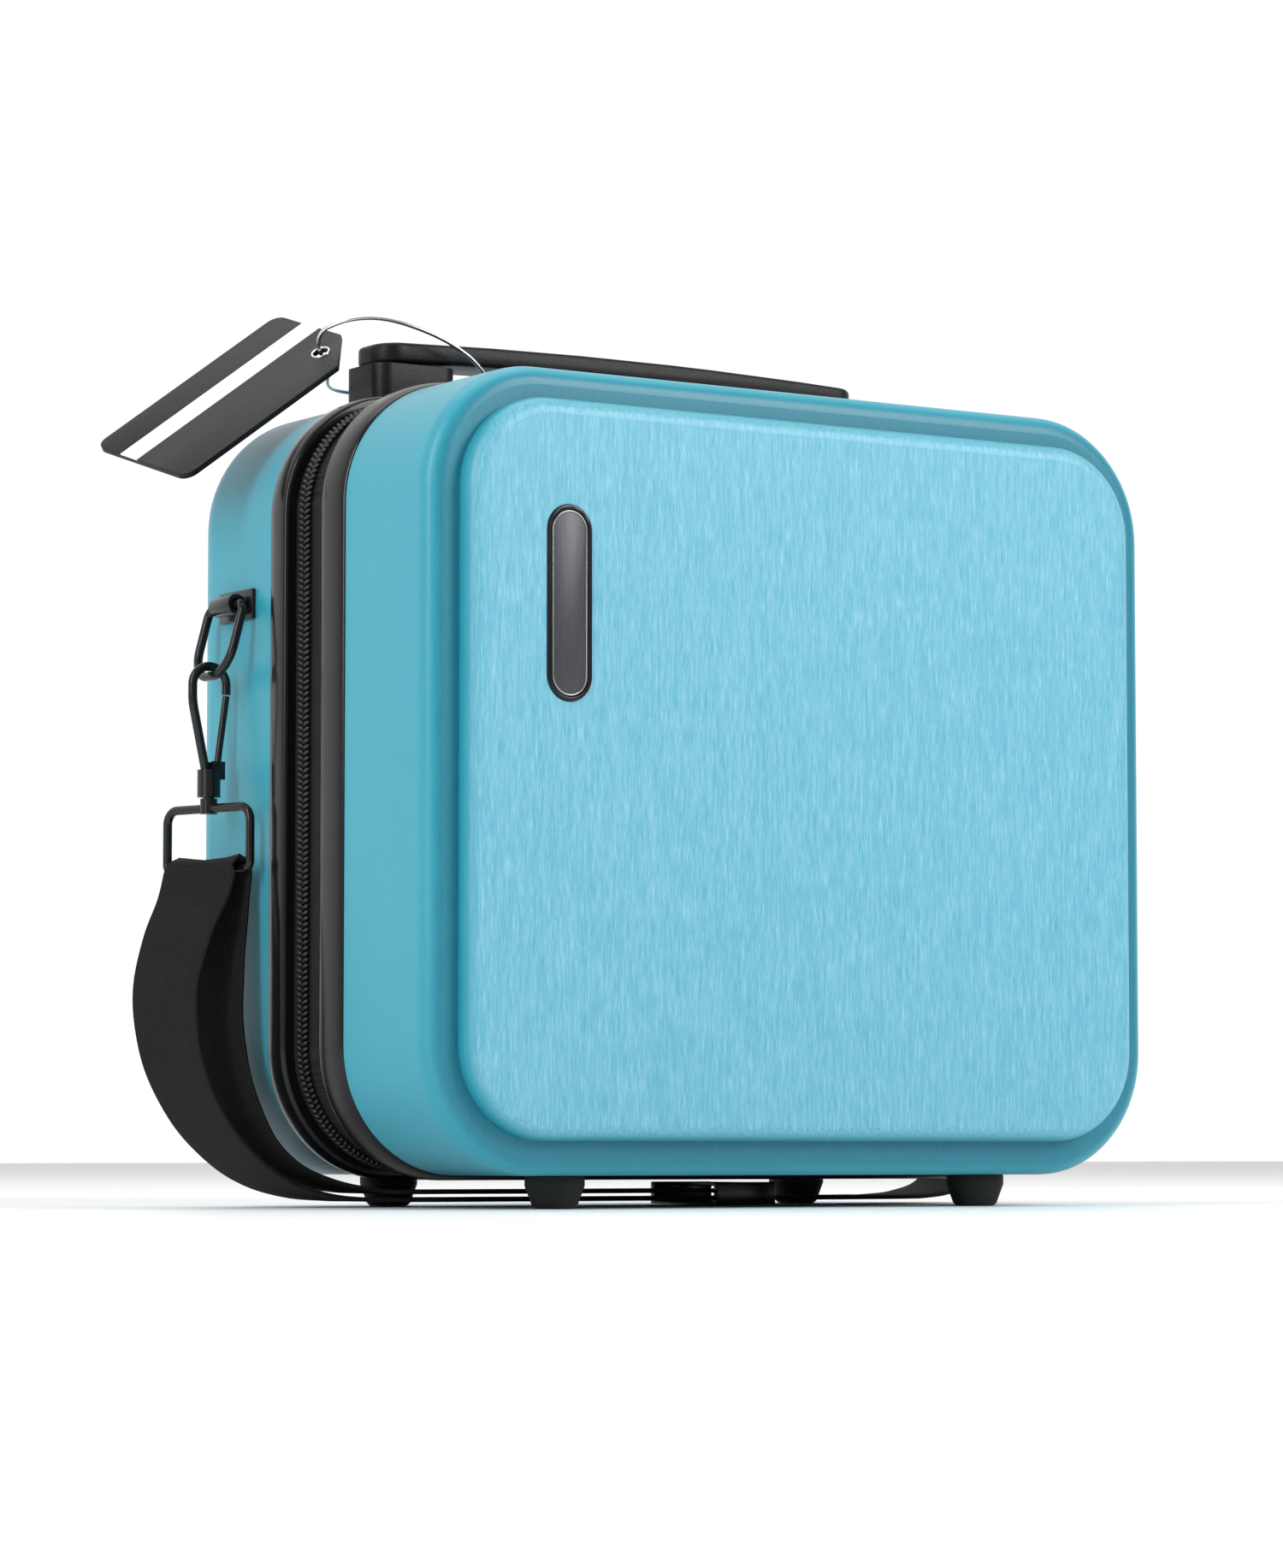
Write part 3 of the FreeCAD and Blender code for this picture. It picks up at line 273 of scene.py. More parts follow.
speckled("gloss_strip", (0.006, 0.006, 0.007), 0.2, 0.05, 60, 0.2, 0.0006, Coat_Weight=0.12,
         Coat_Roughness=0.1, Specular_IOR_Level=0.28)
speckled("satin_plastic", (0.006, 0.006, 0.007), 0.40, 0.08, 1400, 0.35, 0.0003, Specular_IOR_Level=0.24)
speckled("black_metal", (0.009, 0.009, 0.010), 0.22, 0.05, 500, 0.12, 0.0002, Metallic=0.2,
         Specular_IOR_Level=0.5)
speckled("bright_metal", (0.72, 0.72, 0.73), 0.2, 0.08, 700, 0.1, 0.0002, Metallic=1.0)
speckled("foot_rubber", (0.012, 0.012, 0.012), 0.6, 0.1, 900, 0.4, 0.0004, Specular_IOR_Level=0.3)
speckled("rim_metal", (0.33, 0.33, 0.34), 0.25, 0.06, 700, 0.1, 0.0002, Metallic=1.0)
speckled("teeth_nylon", (0.013, 0.013, 0.014), 0.33, 0.06, 800, 0.15, 0.0002)
speckled("tag_card", (0.80, 0.80, 0.79), 0.45, 0.08, 600, 0.15, 0.0002)
print("plain finishes:", len(materials))

# %% Badge plate


def badge_finish():
    """Dark nickel with a fine lengthwise brushing."""
    tree, shader = new_material("badge_plate", (0.06, 0.06, 0.065), 0.34, Metallic=0.5)
    streaks = noise(tree, (4000, 300, 120), 3, 0.6)
    tree.links.new(ramp(tree, streaks, [(0.3, (0.045, 0.045, 0.052)), (0.7, (0.075, 0.075, 0.082))]),
                   shader.inputs["Base Color"])
    bump(tree, shader, streaks, 0.2, 0.0001)


badge_finish()

# %% [markdown]
# Cloth needs threads. For flat woven pieces two wave patterns at right angles give the weave. On the
# strap the waves run in the strip's own UV coordinates, so that the threads turn with the webbing.

# %% Woven finishes


def woven(name, color, pale, thread, kind="Object", across="X", along="Z", depth=0.0004):
    """Two sets of threads, darker between them; thread is the number of threads in a metre."""
    tree, shader = new_material(name, color, 0.8, Sheen_Weight=0.02, Sheen_Roughness=0.5,
                                Specular_IOR_Level=0.14)
    turns = thread / 3.2
    warp = waves(tree, (turns, turns, turns), across, kind, 0.4)
    weft = waves(tree, (turns, turns, turns), along, kind, 0.4)
    threads = combine(tree, "MAXIMUM", warp, combine(tree, "MULTIPLY", weft, 0.8))
    dust = noise(tree, (90, 90, 90), 3, 0.6, kind)
    tone = combine(tree, "ADD", combine(tree, "MULTIPLY", threads, 0.6),
                   combine(tree, "MULTIPLY", dust, 0.4))
    tree.links.new(ramp(tree, tone, [(0.25, color), (0.8, pale)]), shader.inputs["Base Color"])
    bump(tree, shader, threads, 0.5, depth)


woven("webbing", (0.004, 0.004, 0.005), (0.013, 0.013, 0.014), 620, "UV", "X", "Y", 0.00025)
woven("zip_cloth", (0.005, 0.005, 0.005), (0.018, 0.018, 0.018), 1500)
woven("lining_cloth", (0.010, 0.010, 0.012), (0.034, 0.034, 0.038), 1100)
woven("elastic_cloth", (0.006, 0.006, 0.006), (0.03, 0.03, 0.03), 1300)
woven("net_cloth", (0.008, 0.008, 0.008), (0.03, 0.03, 0.03), 2000)
print("materials:", ", ".join(sorted(materials)))

# %% [markdown]
# ## Shared building moves
#
# Nearly every detailed piece here is one of three things: a band that follows the case's outline, a
# CAD piece whose hard edges are softened, or a thin cloth panel. So these three moves come first.
# Each new piece takes the place of its CAD node, and most ride on the same moving body.

# %% Placing a piece
record = frame["record"]
body_of = {node: body for body, members in record["behaviour"]["bodies"].items() for node in members}


def new_object(name, vertices, faces, finish, smooth_angle=40):
    """A mesh object with one finish, smooth except at edges sharper than the angle."""
    mesh = bpy.data.meshes.new(name)
    mesh.from_pydata([tuple(vertex) for vertex in vertices], [], faces)
    piece = bpy.data.objects.new(name, mesh)
    bpy.context.scene.collection.objects.link(piece)
    clean = bmesh.new()
    clean.from_mesh(mesh)
    bmesh.ops.recalc_face_normals(clean, faces=clean.faces)
    clean.to_mesh(mesh)
    clean.free()
    mesh.shade_smooth()
    mesh.set_sharp_from_angle(angle=math.radians(smooth_angle))
    mesh.materials.append(materials[finish])
    return piece


def stands_for(piece, *members):
    """The piece replaces these CAD nodes and moves with their body."""
    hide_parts(*members)
    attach(piece, body_of[members[0]])
    return piece


def softened(node, finish, width, segments=3, angle=32):
    """A copy of a CAD piece with its sharp edges rounded, as moulding or casting leaves them."""
    source = nodes[node]
    mesh = source.data.copy()
    piece = bpy.data.objects.new(node + "_soft", mesh)
    bpy.context.scene.collection.objects.link(piece)
    bpy.context.view_layer.update()
    piece.matrix_world = source.matrix_world.copy()
    clean = bmesh.new()
    clean.from_mesh(mesh)
    bmesh.ops.remove_doubles(clean, verts=clean.verts, dist=0.000002)
    bmesh.ops.dissolve_limit(clean, angle_limit=math.radians(0.6), verts=clean.verts, edges=clean.edges)
    clean.to_mesh(mesh)
    clean.free()
    rounding = piece.modifiers.new("rounding", "BEVEL")
    rounding.width = width
    rounding.segments = segments
    rounding.limit_method = "ANGLE"
    rounding.angle_limit = math.radians(angle)
    rounding.use_clamp_overlap = True
    bpy.context.view_layer.update()
    shaped = bpy.data.meshes.new_from_object(piece.evaluated_get(bpy.context.evaluated_depsgraph_get()))
    piece.modifiers.clear()
    piece.data = shaped
    shaped.shade_smooth()
    shaped.set_sharp_from_angle(angle=math.radians(40))
    shaped.materials.clear()
    shaped.materials.append(materials[finish])
    return stands_for(piece, node)


# %% Following the outline
CORNER = 45 * MM
case_half = shell_high.x
corner_x = case_half - CORNER
corner_low = shell_low.z + CORNER
corner_high = shell_high.z - CORNER


def outline(drop=0.0, spacing=0.003):
    """Stations (x, z, outward x, outward z) round the case, drop inside it, from the middle bottom."""
    radius = CORNER - drop
    runs = [((0, shell_low.z + drop), (-corner_x, shell_low.z + drop), (0, -1)),
            (-corner_x, corner_low, 270),
            ((-case_half + drop, corner_low), (-case_half + drop, corner_high), (-1, 0)),
            (-corner_x, corner_high, 180),
            ((-corner_x, shell_high.z - drop), (corner_x, shell_high.z - drop), (0, 1)),
            (corner_x, corner_high, 90),
            ((case_half - drop, corner_high), (case_half - drop, corner_low), (1, 0)),
            (corner_x, corner_low, 360),
            ((corner_x, shell_low.z + drop), (0, shell_low.z + drop), (0, -1))]
    stations = []
    for run in runs:
        if isinstance(run[0], tuple):
            start, end, outward = run
            count = max(1, round(math.dist(start, end) / spacing))
            for step in range(count):
                share = step / count
                stations.append((start[0] + (end[0] - start[0]) * share,
                                 start[1] + (end[1] - start[1]) * share, *outward))
        else:
            count = max(10, round(radius * math.pi / 2 / spacing))
            for step in range(count):
                angle = math.radians(run[2] - 90 * step / count)
                out = (math.cos(angle), math.sin(angle))
                stations.append((run[0] + radius * out[0], run[1] + radius * out[1], *out))
    return stations


def band(name, profile, finish, open_half=None, spacing=0.003):
    """Sweep a closed profile of (y, drop) points round the outline; open_half leaves the bottom open."""
    stations = outline(0, spacing)
    if open_half is not None:
        stations = [place for place in stations
                    if not (place[3] == -1 and abs(place[0]) < open_half)]
    count = len(profile)
    vertices = [Vector((x - out_x * drop, y, z - out_z * drop))
                for x, z, out_x, out_z in stations for y, drop in profile]
    faces = []
    last = len(stations) if open_half is None else len(stations) - 1
    for row in range(last):
        here = row * count
        there = (row + 1) % len(stations) * count
        for column in range(count):
            after = (column + 1) % count
            faces.append((here + column, here + after, there + after, there + column))
    if open_half is not None:
        faces.append(tuple(range(count)))
        faces.append(tuple(range(len(vertices) - count, len(vertices))))
    return new_object(name, vertices, faces, finish)


print("outline stations:", len(outline()))

# %% Cloth panels


def panel(name, width, height, radius, centre, front, back, finish, step=0.004, facing=-1):
    """Upright cloth panel with rounded corners; front(x, z) is how far its face stands off its back."""
    across = max(4, round(width / step))
    up = max(4, round(height / step))
    vertices = []
    for row in range(up + 1):
        for column in range(across + 1):
            x = (column / across - 0.5) * width
            z = (row / up - 0.5) * height
            inner_x = width / 2 - radius
            inner_z = height / 2 - radius
            beyond = Vector((max(0, abs(x) - inner_x), max(0, abs(z) - inner_z)))
            if beyond.x > 0 and beyond.y > 0 and beyond.length > radius:
                beyond = beyond.normalized() * radius
                x = math.copysign(inner_x + beyond.x, x)
                z = math.copysign(inner_z + beyond.y, z)
            vertices.append((x, z))
    total = len(vertices)
    points = [Vector((centre[0] + x, back + facing * front(x, z), centre[1] + z)) for x, z in vertices]
    points += [Vector((centre[0] + x, back, centre[1] + z)) for x, z in vertices]
    faces = []
    wide = across + 1
    for row in range(up):
        for column in range(across):
            corner = row * wide + column
            quad = (corner, corner + 1, corner + wide + 1, corner + wide)
            faces.append(quad)
            faces.append(tuple(total + index for index in reversed(quad)))
    rim = [column for column in range(across)]
    rim += [row * wide + across for row in range(up)]
    rim += [up * wide + column for column in range(across, 0, -1)]
    rim += [row * wide for row in range(up, 0, -1)]
    for index, corner in enumerate(rim):
        after = rim[(index + 1) % len(rim)]
        faces.append((corner, after, total + after, total + corner))
    return new_object(name, points, faces, finish, 50)


# %% [markdown]
# ## Frame strips
#
# A polished black moulding grips each shell's open edge. Its outer face is crowned and rolls over at
# the shell side, which gives the one long highlight. It is made by sweeping that section round the
# outline.

# %% Frame strips


def strip_section(shell_side, zip_side):
    """Section (y, drop) from the shell's edge to the zip; it rolls over at the shell side."""
    reach = zip_side - shell_side
    crown = [(0.0, 5.0), (0.0, 0.6), (0.02, -0.1), (0.08, -0.75), (0.18, -1.25), (0.32, -1.6),
             (0.5, -1.78), (0.7, -1.8), (0.86, -1.7), (0.95, -1.35), (0.995, -0.7), (1.0, 0.1),
             (1.0, 5.0)]
    return [(shell_side + reach * share, drop * MM) for share, drop in crown]


front_strip_low, front_strip_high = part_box("front_frame_strip")
back_strip_low, back_strip_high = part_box("back_frame_strip")
front_section = strip_section(front_strip_low.y, front_strip_high.y)
back_section = strip_section(back_strip_high.y, back_strip_low.y)
stands_for(band("frame_strip_front", front_section, "gloss_strip"), "front_frame_strip")
stands_for(band("frame_strip_back", back_section, "gloss_strip"), "back_frame_strip")
print("strip widths, mm:", round((front_strip_high.y - front_strip_low.y) / MM, 1),
      round((back_strip_high.y - back_strip_low.y) / MM, 1))

# %% [markdown]
# ## Zip
#
# A coil zip is two rows of nylon loops sewn on two woven tapes. From outside each loop shows as a
# short slanting ridge, and the two rows mesh in a chevron. The tapes get fine ribs across their
# width. The bottom of the case has no zip: a plain fabric strip is the hinge there.

# %% Zip tapes
ZIP_Y = 12 * MM
PITCH = 2.1 * MM
OPEN_HALF = 110.5 * MM


def tape_section(low, high, top_drop, thickness):
    """Thin cloth section with shallow ribs on its outer side."""
    ribs = max(6, round((high - low) / (0.9 * MM)))
    outer = [(low + (high - low) * index / ribs, top_drop + (0.12 * MM if index % 2 else 0))
             for index in range(ribs + 1)]
    return outer + [(high, top_drop + thickness), (low, top_drop + thickness)]


front_tape_low, front_tape_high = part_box("front_zip_tape")
back_tape_low, back_tape_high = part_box("back_zip_tape")
TAPE_DROP = 3 * MM
stands_for(band("tape_front", tape_section(front_tape_low.y, front_tape_high.y, TAPE_DROP, 1 * MM),
                "zip_cloth", OPEN_HALF), "front_zip_tape")
stands_for(band("tape_back", tape_section(back_tape_low.y, back_tape_high.y, TAPE_DROP, 1 * MM),
                "zip_cloth", OPEN_HALF), "back_zip_tape")

# %% Zip coil


def walk(stations, pitch):
    """Evenly spaced (x, z, outward, along) places on a run of outline stations."""
    places = []
    travelled = 0.0
    wanted = pitch / 2
    for here, after in zip(stations, stations[1:]):
        length = math.dist(here[:2], after[:2])
        while wanted <= travelled + length:
            share = (wanted - travelled) / length
            x, z, out_x, out_z = (a + (b - a) * share for a, b in zip(here, after))
            outward = Vector((out_x, 0, out_z)).normalized()
            along = Vector((outward.z, 0, -outward.x))
            places.append((Vector((x, 0, z)), outward, along))
            wanted += pitch
        travelled += length
    return places


def coil_row(name, towards, shift):
    """One row of loops: towards is -1 for the lid's row and 1 for the base's row."""
    stations = [place for place in outline(2.0 * MM, 0.002)
                if not (place[3] == -1 and abs(place[0]) < OPEN_HALF)]
    vertices = []
    faces = []
    swell = [(0.0, 0.35), (0.12, 0.85), (0.4, 1.0), (0.75, 0.95), (0.95, 0.6), (1.0, 0.3)]
    ring = 7
    for place, outward, along in walk(stations, PITCH):
        first = len(vertices)
        for share, size in swell:
            centre = place + along * (shift + 1.15 * MM * share)
            centre += Vector((0, ZIP_Y + towards * (0.12 + 3.9 * share) * MM, 0))
            centre += outward * (0.15 * MM * size)
            for turn in range(ring):
                angle = 2 * math.pi * turn / ring
                vertices.append(centre + along * (0.82 * MM * size * math.cos(angle))
                                + outward * (1.0 * MM * size * math.sin(angle)))
        for row in range(len(swell) - 1):
            for turn in range(ring):
                a = first + row * ring + turn
                b = first + row * ring + (turn + 1) % ring
                faces.append((a, b, b + ring, a + ring))
        faces.append(tuple(range(first, first + ring)))
        faces.append(tuple(range(len(vertices) - ring, len(vertices))))
    return new_object(name, vertices, faces, "teeth_nylon", 60)


stands_for(coil_row("coil_front", -1, 0.0), "front_zip_teeth")
stands_for(coil_row("coil_back", 1, PITCH / 2), "back_zip_teeth")
print("coil loops in one row:", len(walk(outline(2.0 * MM, 0.002), PITCH)))

# %% [markdown]
# The hinge strip is a flat woven piece between the two frame strips. It bends when the lid opens; here
# it is a flat, finely subdivided sheet.

# %% Hinge strip
hinge_low, hinge_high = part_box("hinge_strip")


def hinge_sheet():
    along = 90
    across = 30
    vertices = []
    for side in range(2):
        for row in range(along + 1):
            for column in range(across + 1):
                x = hinge_low.x + (hinge_high.x - hinge_low.x) * row / along
                y = hinge_low.y + (hinge_high.y - hinge_low.y) * column / across
                rib = 0.08 * MM if column % 2 else 0
                z = hinge_low.z + rib if side == 0 else hinge_high.z - 0.15 * MM
                vertices.append((x, y, z))
    wide = across + 1
    total = (along + 1) * wide
    faces = []
    for row in range(along):
        for column in range(across):
            corner = row * wide + column
            quad = (corner, corner + 1, corner + wide + 1, corner + wide)
            faces.append(quad)
            faces.append(tuple(total + index for index in reversed(quad)))
    rim = [column for column in range(across)] + [row * wide + across for row in range(along)]
    rim += [along * wide + column for column in range(across, 0, -1)]
    rim += [row * wide for row in range(along, 0, -1)]
    for index, corner in enumerate(rim):
        after = rim[(index + 1) % len(rim)]
        faces.append((corner, after, total + after, total + corner))
    return new_object("hinge_cloth", vertices, faces, "zip_cloth")


hinge = hinge_sheet()
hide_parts("hinge_strip")
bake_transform(hinge)

# %% [markdown]
# ## Hard fittings
#
# Handle, mounts, lugs, rings, sliders, feet and the tag are moulded or cast. Their CAD shapes are
# right, but real moulding has no knife edges, so every edge gets its own small rounding.

# %% Softened fittings
FITTINGS = {
    "carry_handle": ("satin_plastic", 2.2), "handle_mount_left": ("satin_plastic", 1.6),
    "handle_mount_right": ("satin_plastic", 1.6), "strap_lug_left": ("black_metal", 0.5),
    "strap_lug_right": ("black_metal", 0.5), "strap_adjuster": ("black_metal", 0.5),
    "zip_slider_left": ("black_metal", 0.35), "zip_slider_right": ("black_metal", 0.35),
    "zip_pull_left": ("black_metal", 0.35), "zip_pull_right": ("bright_metal", 0.35),
    "foot_front_left": ("foot_rubber", 0.9), "foot_front_right": ("foot_rubber", 0.9),
    "foot_rear_left": ("foot_rubber", 0.9), "foot_rear_right": ("foot_rubber", 0.9),
    "tag_holder": ("satin_plastic", 0.35), "tag_wire_clasp": ("bright_metal", 0.3),
    "pocket_slider": ("black_metal", 0.25), "pocket_pull": ("black_metal", 0.25),
    "badge_plate": ("badge_plate", 0.25), "badge_surround": ("gloss_strip", 0.35),
}
for node, (finish, width_mm) in FITTINGS.items():
    softened(node, finish, width_mm * MM)
print("softened:", len(FITTINGS), "fittings")

# %% [markdown]
# ## Shoulder strap
#
# One length of webbing runs from the slide adjuster under the case, up to the left ring, back down
# and under, and up to the right ring, where its end is stitched back. It is built as two pieces that
# meet under the adjuster. The stations are the CAD ones: distance out from the middle, depth and
# height.

# %% Strap route
OUTER_RUN = [(173, 57, 111), (179.5, 56, 97), (184, 56, 80), (184.5, 54, 62), (181, 51, 45),
             (173, 47.5, 29), (162, 44, 16.5), (150, 41, 8.5), (136, 38, 4.2), (122, 35.5, 2.8),
             (110, 32.8, 2.6), (85, 25, 2.6), (60, 25, 2.6)]
INNER_RUN = [(-31, 25, 5.4), (85, 25, 5.4), (110, 32.8, 5.5), (122, 35.5, 6.5), (134, 38, 9),
             (146, 41, 14), (155, 44, 22), (161.5, 47, 34), (165.5, 50, 48), (167.5, 53, 66),
             (167, 55, 86), (165.2, 56.5, 106)]
RIGHT_RUN = [(60, 25, 2.6), (85, 25, 2.6), (110, 32.8, 2.6), (122, 35.5, 2.8), (136, 38, 4.2),
             (150, 41, 8.5), (160.5, 44, 18), (167, 47, 32), (171, 50, 50), (173.5, 53, 72),
             (173.2, 55.5, 94), (171.5, 57, 111)]
RIGHT_END = [(165.6, 56.5, 110), (168.6, 55.5, 98), (170.2, 54, 86)]
LOOP_CENTRE = (167, 57, 121.07)
LOOP_RADIUS = 3.0
RING_TWIST = 15
STRAP_WIDTH = 38 * MM
STRAP_THICK = 1.5 * MM
STATION_SPACING = 0.003


def on_side(side, run):
    """Turn (out, depth, height) in millimetres into points in metres on one side of the case."""
    return [Vector((side * out, y, z)) * MM for out, y, z in run]


def loop_over_bar(side):
    """Half a turn over the ring's lower bar, from the inside to the outside."""
    centre = Vector((side * LOOP_CENTRE[0], LOOP_CENTRE[1], LOOP_CENTRE[2])) * MM
    points = []
    for step in range(9):
        angle = math.radians(180 - 22.5 * step)
        points.append(centre + Vector((side * math.cos(angle), 0, math.sin(angle))) * LOOP_RADIUS * MM)
    return points


def smooth_line(points, spacing):
    """Pass a smooth curve through the points and space stations evenly along it."""
    fine = []
    ends = [points[0] * 2 - points[1]] + points + [points[-1] * 2 - points[-2]]
    for before, here, after, beyond in zip(ends, ends[1:], ends[2:], ends[3:]):
        for step in range(12):
            t = step / 12
            fine.append(0.5 * (2 * here + (after - before) * t
                               + (2 * before - 5 * here + 4 * after - beyond) * t * t
                               + (3 * here - before - 3 * after + beyond) * t * t * t))
    fine.append(points[-1])
    even = [fine[0]]
    travelled = 0.0
    for here, after in zip(fine, fine[1:]):
        length = (after - here).length
        while length > 0 and travelled + length >= spacing:
            here = here + (after - here) * ((spacing - travelled) / length)
            even.append(here)
            length = (after - here).length
            travelled = 0.0
        travelled += length
    return even


def strap_across(side, z):
    """The webbing lies along the ring at the top and front to back on the floor."""
    share = min(1, max(0, (z / MM - 3) / 115))
    twist = math.radians(RING_TWIST) * share
    return Vector((-side * math.sin(twist), -math.cos(twist), 0))


def webbing_piece(name, points, side):
    """Ribbon with thick woven edges; its UV runs in metres so the weave follows the ribbon."""
    stations = smooth_line(points, STATION_SPACING)
    half = STRAP_WIDTH / 2
    edge = [(-1, 0), (-0.985, 0.42), (-0.95, 0.5), (-0.9, 0.46), (-0.86, 0.5), (-0.5, 0.48),
            (0, 0.5), (0.5, 0.48), (0.86, 0.5), (0.9, 0.46), (0.95, 0.5), (0.985, 0.42), (1, 0)]
    section = edge + [(across, -lift) for across, lift in reversed(edge[1:-1])]
    vertices = []
    for index, here in enumerate(stations):
        after = stations[min(index + 1, len(stations) - 1)]
        before = stations[max(index - 1, 0)]
        along = (after - before).normalized()
        across = strap_across(side, here.z)
        across = (across - along * across.dot(along)).normalized()
        up = across.cross(along)
        waver = 0.12 * MM * math.sin(index * 0.31) + 0.08 * MM * math.sin(index * 0.83 + 1)
        for share, lift in section:
            vertices.append(here + across * (half * share + waver) + up * (STRAP_THICK * lift))
    count = len(section)
    faces = []
    for row in range(len(stations) - 1):
        for column in range(count):
            after = (column + 1) % count
            faces.append((row * count + column, row * count + after,
                          (row + 1) * count + after, (row + 1) * count + column))
    faces.append(tuple(range(count)))
    faces.append(tuple(range(len(vertices) - count, len(vertices))))
    piece = new_object(name, vertices, faces, "webbing", 70)
    layer = piece.data.uv_layers.new(name="weave")
    for loop in piece.data.loops:
        row, column = divmod(loop.vertex_index, count)
        layer.data[loop.index].uv = (half * section[column][0], row * STATION_SPACING)
    length = sum((b - a).length for a, b in zip(stations, stations[1:]))
    print(name, round(length * 1000), "mm")
    return piece, length


MEETING = Vector((30, 25, 2.6)) * MM
left_points = on_side(-1, INNER_RUN) + loop_over_bar(-1) + on_side(-1, OUTER_RUN) + [MEETING]
right_points = [MEETING] + on_side(1, RIGHT_RUN) + loop_over_bar(1)[::-1] + on_side(1, RIGHT_END)
strap_left, left_length = webbing_piece("strap_left", left_points, -1)
strap_right, right_length = webbing_piece("strap_right", right_points, 1)

# %% [markdown]
# The stitch bars used for seams, and their thread finish, are made here. Each strap piece stands in
# for the CAD strap, which is hidden, and has its placement baked into its mesh.

# %% Stitches and strap placement
STITCH_SIDES = 5


def stitches(name, places, along, across):
    """Short raised threads, each a small rounded bar lying along the seam."""
    vertices = []
    faces = []
    for place in places:
        first = len(vertices)
        for share, size in ((-1, 0.4), (-0.5, 1), (0.5, 1), (1, 0.4)):
            for turn in range(STITCH_SIDES):
                angle = 2 * math.pi * turn / STITCH_SIDES
                up = along.cross(across)
                vertices.append(place + along * (0.9 * MM * share)
                                + across * (0.22 * MM * size * math.cos(angle))
                                + up * (0.22 * MM * size * math.sin(angle)))
        for row in range(3):
            for turn in range(STITCH_SIDES):
                a = first + row * STITCH_SIDES + turn
                b = first + row * STITCH_SIDES + (turn + 1) % STITCH_SIDES
                faces.append((a, b, b + STITCH_SIDES, a + STITCH_SIDES))
        faces.append(tuple(range(first, first + STITCH_SIDES)))
        faces.append(tuple(range(len(vertices) - STITCH_SIDES, len(vertices))))
    return new_object(name, vertices, faces, "thread", 60)


speckled("thread", (0.02, 0.02, 0.021), 0.7, 0.1, 2500, 0.3, 0.0002)
for piece, side, ring, length in ((strap_left, -1, "strap_ring_left", left_length),
                                  (strap_right, 1, "strap_ring_right", right_length)):
    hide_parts("shoulder_strap")
    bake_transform(piece)

# %% [markdown]
# ## Luggage tag's steel loop
#
# The loop is thin steel cable in a clear sleeve. It leaves the screw clasp, goes over the handle's
# end, through the tag's hole, and back round to the clasp. It is stiff enough to hold the tag up off
# the case.

# %% Steel loop
WIRE_ROUTE = [(-61, 33, 300), (-68, 31, 309), (-82, 31, 317), (-97, 33, 322), (-109, 36.5, 324.5),
              (-119.5, 42.5, 323.5), (-127.2, 52.6, 318.9), (-117.5, 58.9, 306), (-113, 68, 302.5),
              (-104, 73.5, 302), (-90, 75.5, 302.5), (-76, 73.5, 303), (-66, 68, 302),
              (-60.5, 60, 300.5), (-58.5, 51, 299.5), (-59.5, 41.5, 299)]


def steel_loop():
    data = bpy.data.curves.new("steel_loop", "CURVE")
    data.dimensions = "3D"
    data.bevel_depth = 0.75 * MM
    data.bevel_resolution = 3
    data.resolution_u = 12
    data.use_fill_caps = True
    spline = data.splines.new("NURBS")
    spline.points.add(len(WIRE_ROUTE) - 1)
    for point, place in zip(spline.points, WIRE_ROUTE):
        point.co = (*(Vector(place) * MM), 1)
    spline.order_u = 3
    spline.use_endpoint_u = True
    data.materials.append(materials["bright_metal"])
    loop = bpy.data.objects.new("steel_loop", data)
    bpy.context.scene.collection.objects.link(loop)
    return loop


loop = stands_for(steel_loop(), "tag_wire")

# %% [markdown]
# ## Badge and tag details
#
# The badge has a thin bright rim round its plate, and the tag's hole has a metal eyelet. Both are
# rings swept round a simple path.

# %% Rings


def ring_along(name, centres, radius, finish, sides=8):
    """A closed tube round a loop of points."""
    vertices = []
    faces = []
    count = len(centres)
    for index, here in enumerate(centres):
        along = (centres[(index + 1) % count] - centres[index - 1]).normalized()
        middle = sum(centres, Vector()) / count
        outward = (here - middle)
        outward = (outward - along * outward.dot(along)).normalized()
        up = along.cross(outward)
        for turn in range(sides):
            angle = 2 * math.pi * turn / sides
            vertices.append(here + outward * radius * math.cos(angle) + up * radius * math.sin(angle))
    for row in range(count):
        for turn in range(sides):
            a = row * sides + turn
            b = row * sides + (turn + 1) % sides
            c = (row + 1) % count * sides
            faces.append((a, b, c + (turn + 1) % sides, c + turn))
    return new_object(name, vertices, faces, finish, 80)


plate_low, plate_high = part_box("badge_plate")


def pill_path(inset):
    """Points round the badge plate's outline."""
    half_wide = (plate_high.x - plate_low.x) / 2 - inset
    centre_x = (plate_high.x + plate_low.x) / 2
    straight = (plate_high.z - plate_low.z) / 2 - inset - half_wide
    centre_z = (plate_high.z + plate_low.z) / 2
    points = []
    for step in range(48):
        angle = 2 * math.pi * (step + 0.5) / 48
        end = straight if math.sin(angle) > 0 else -straight
        points.append(Vector((centre_x + half_wide * math.cos(angle), plate_low.y,
                              centre_z + end + half_wide * math.sin(angle))))
    return points


rim = ring_along("badge_rim", pill_path(0.5 * MM), 0.38 * MM, "rim_metal")
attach(rim, "lid")

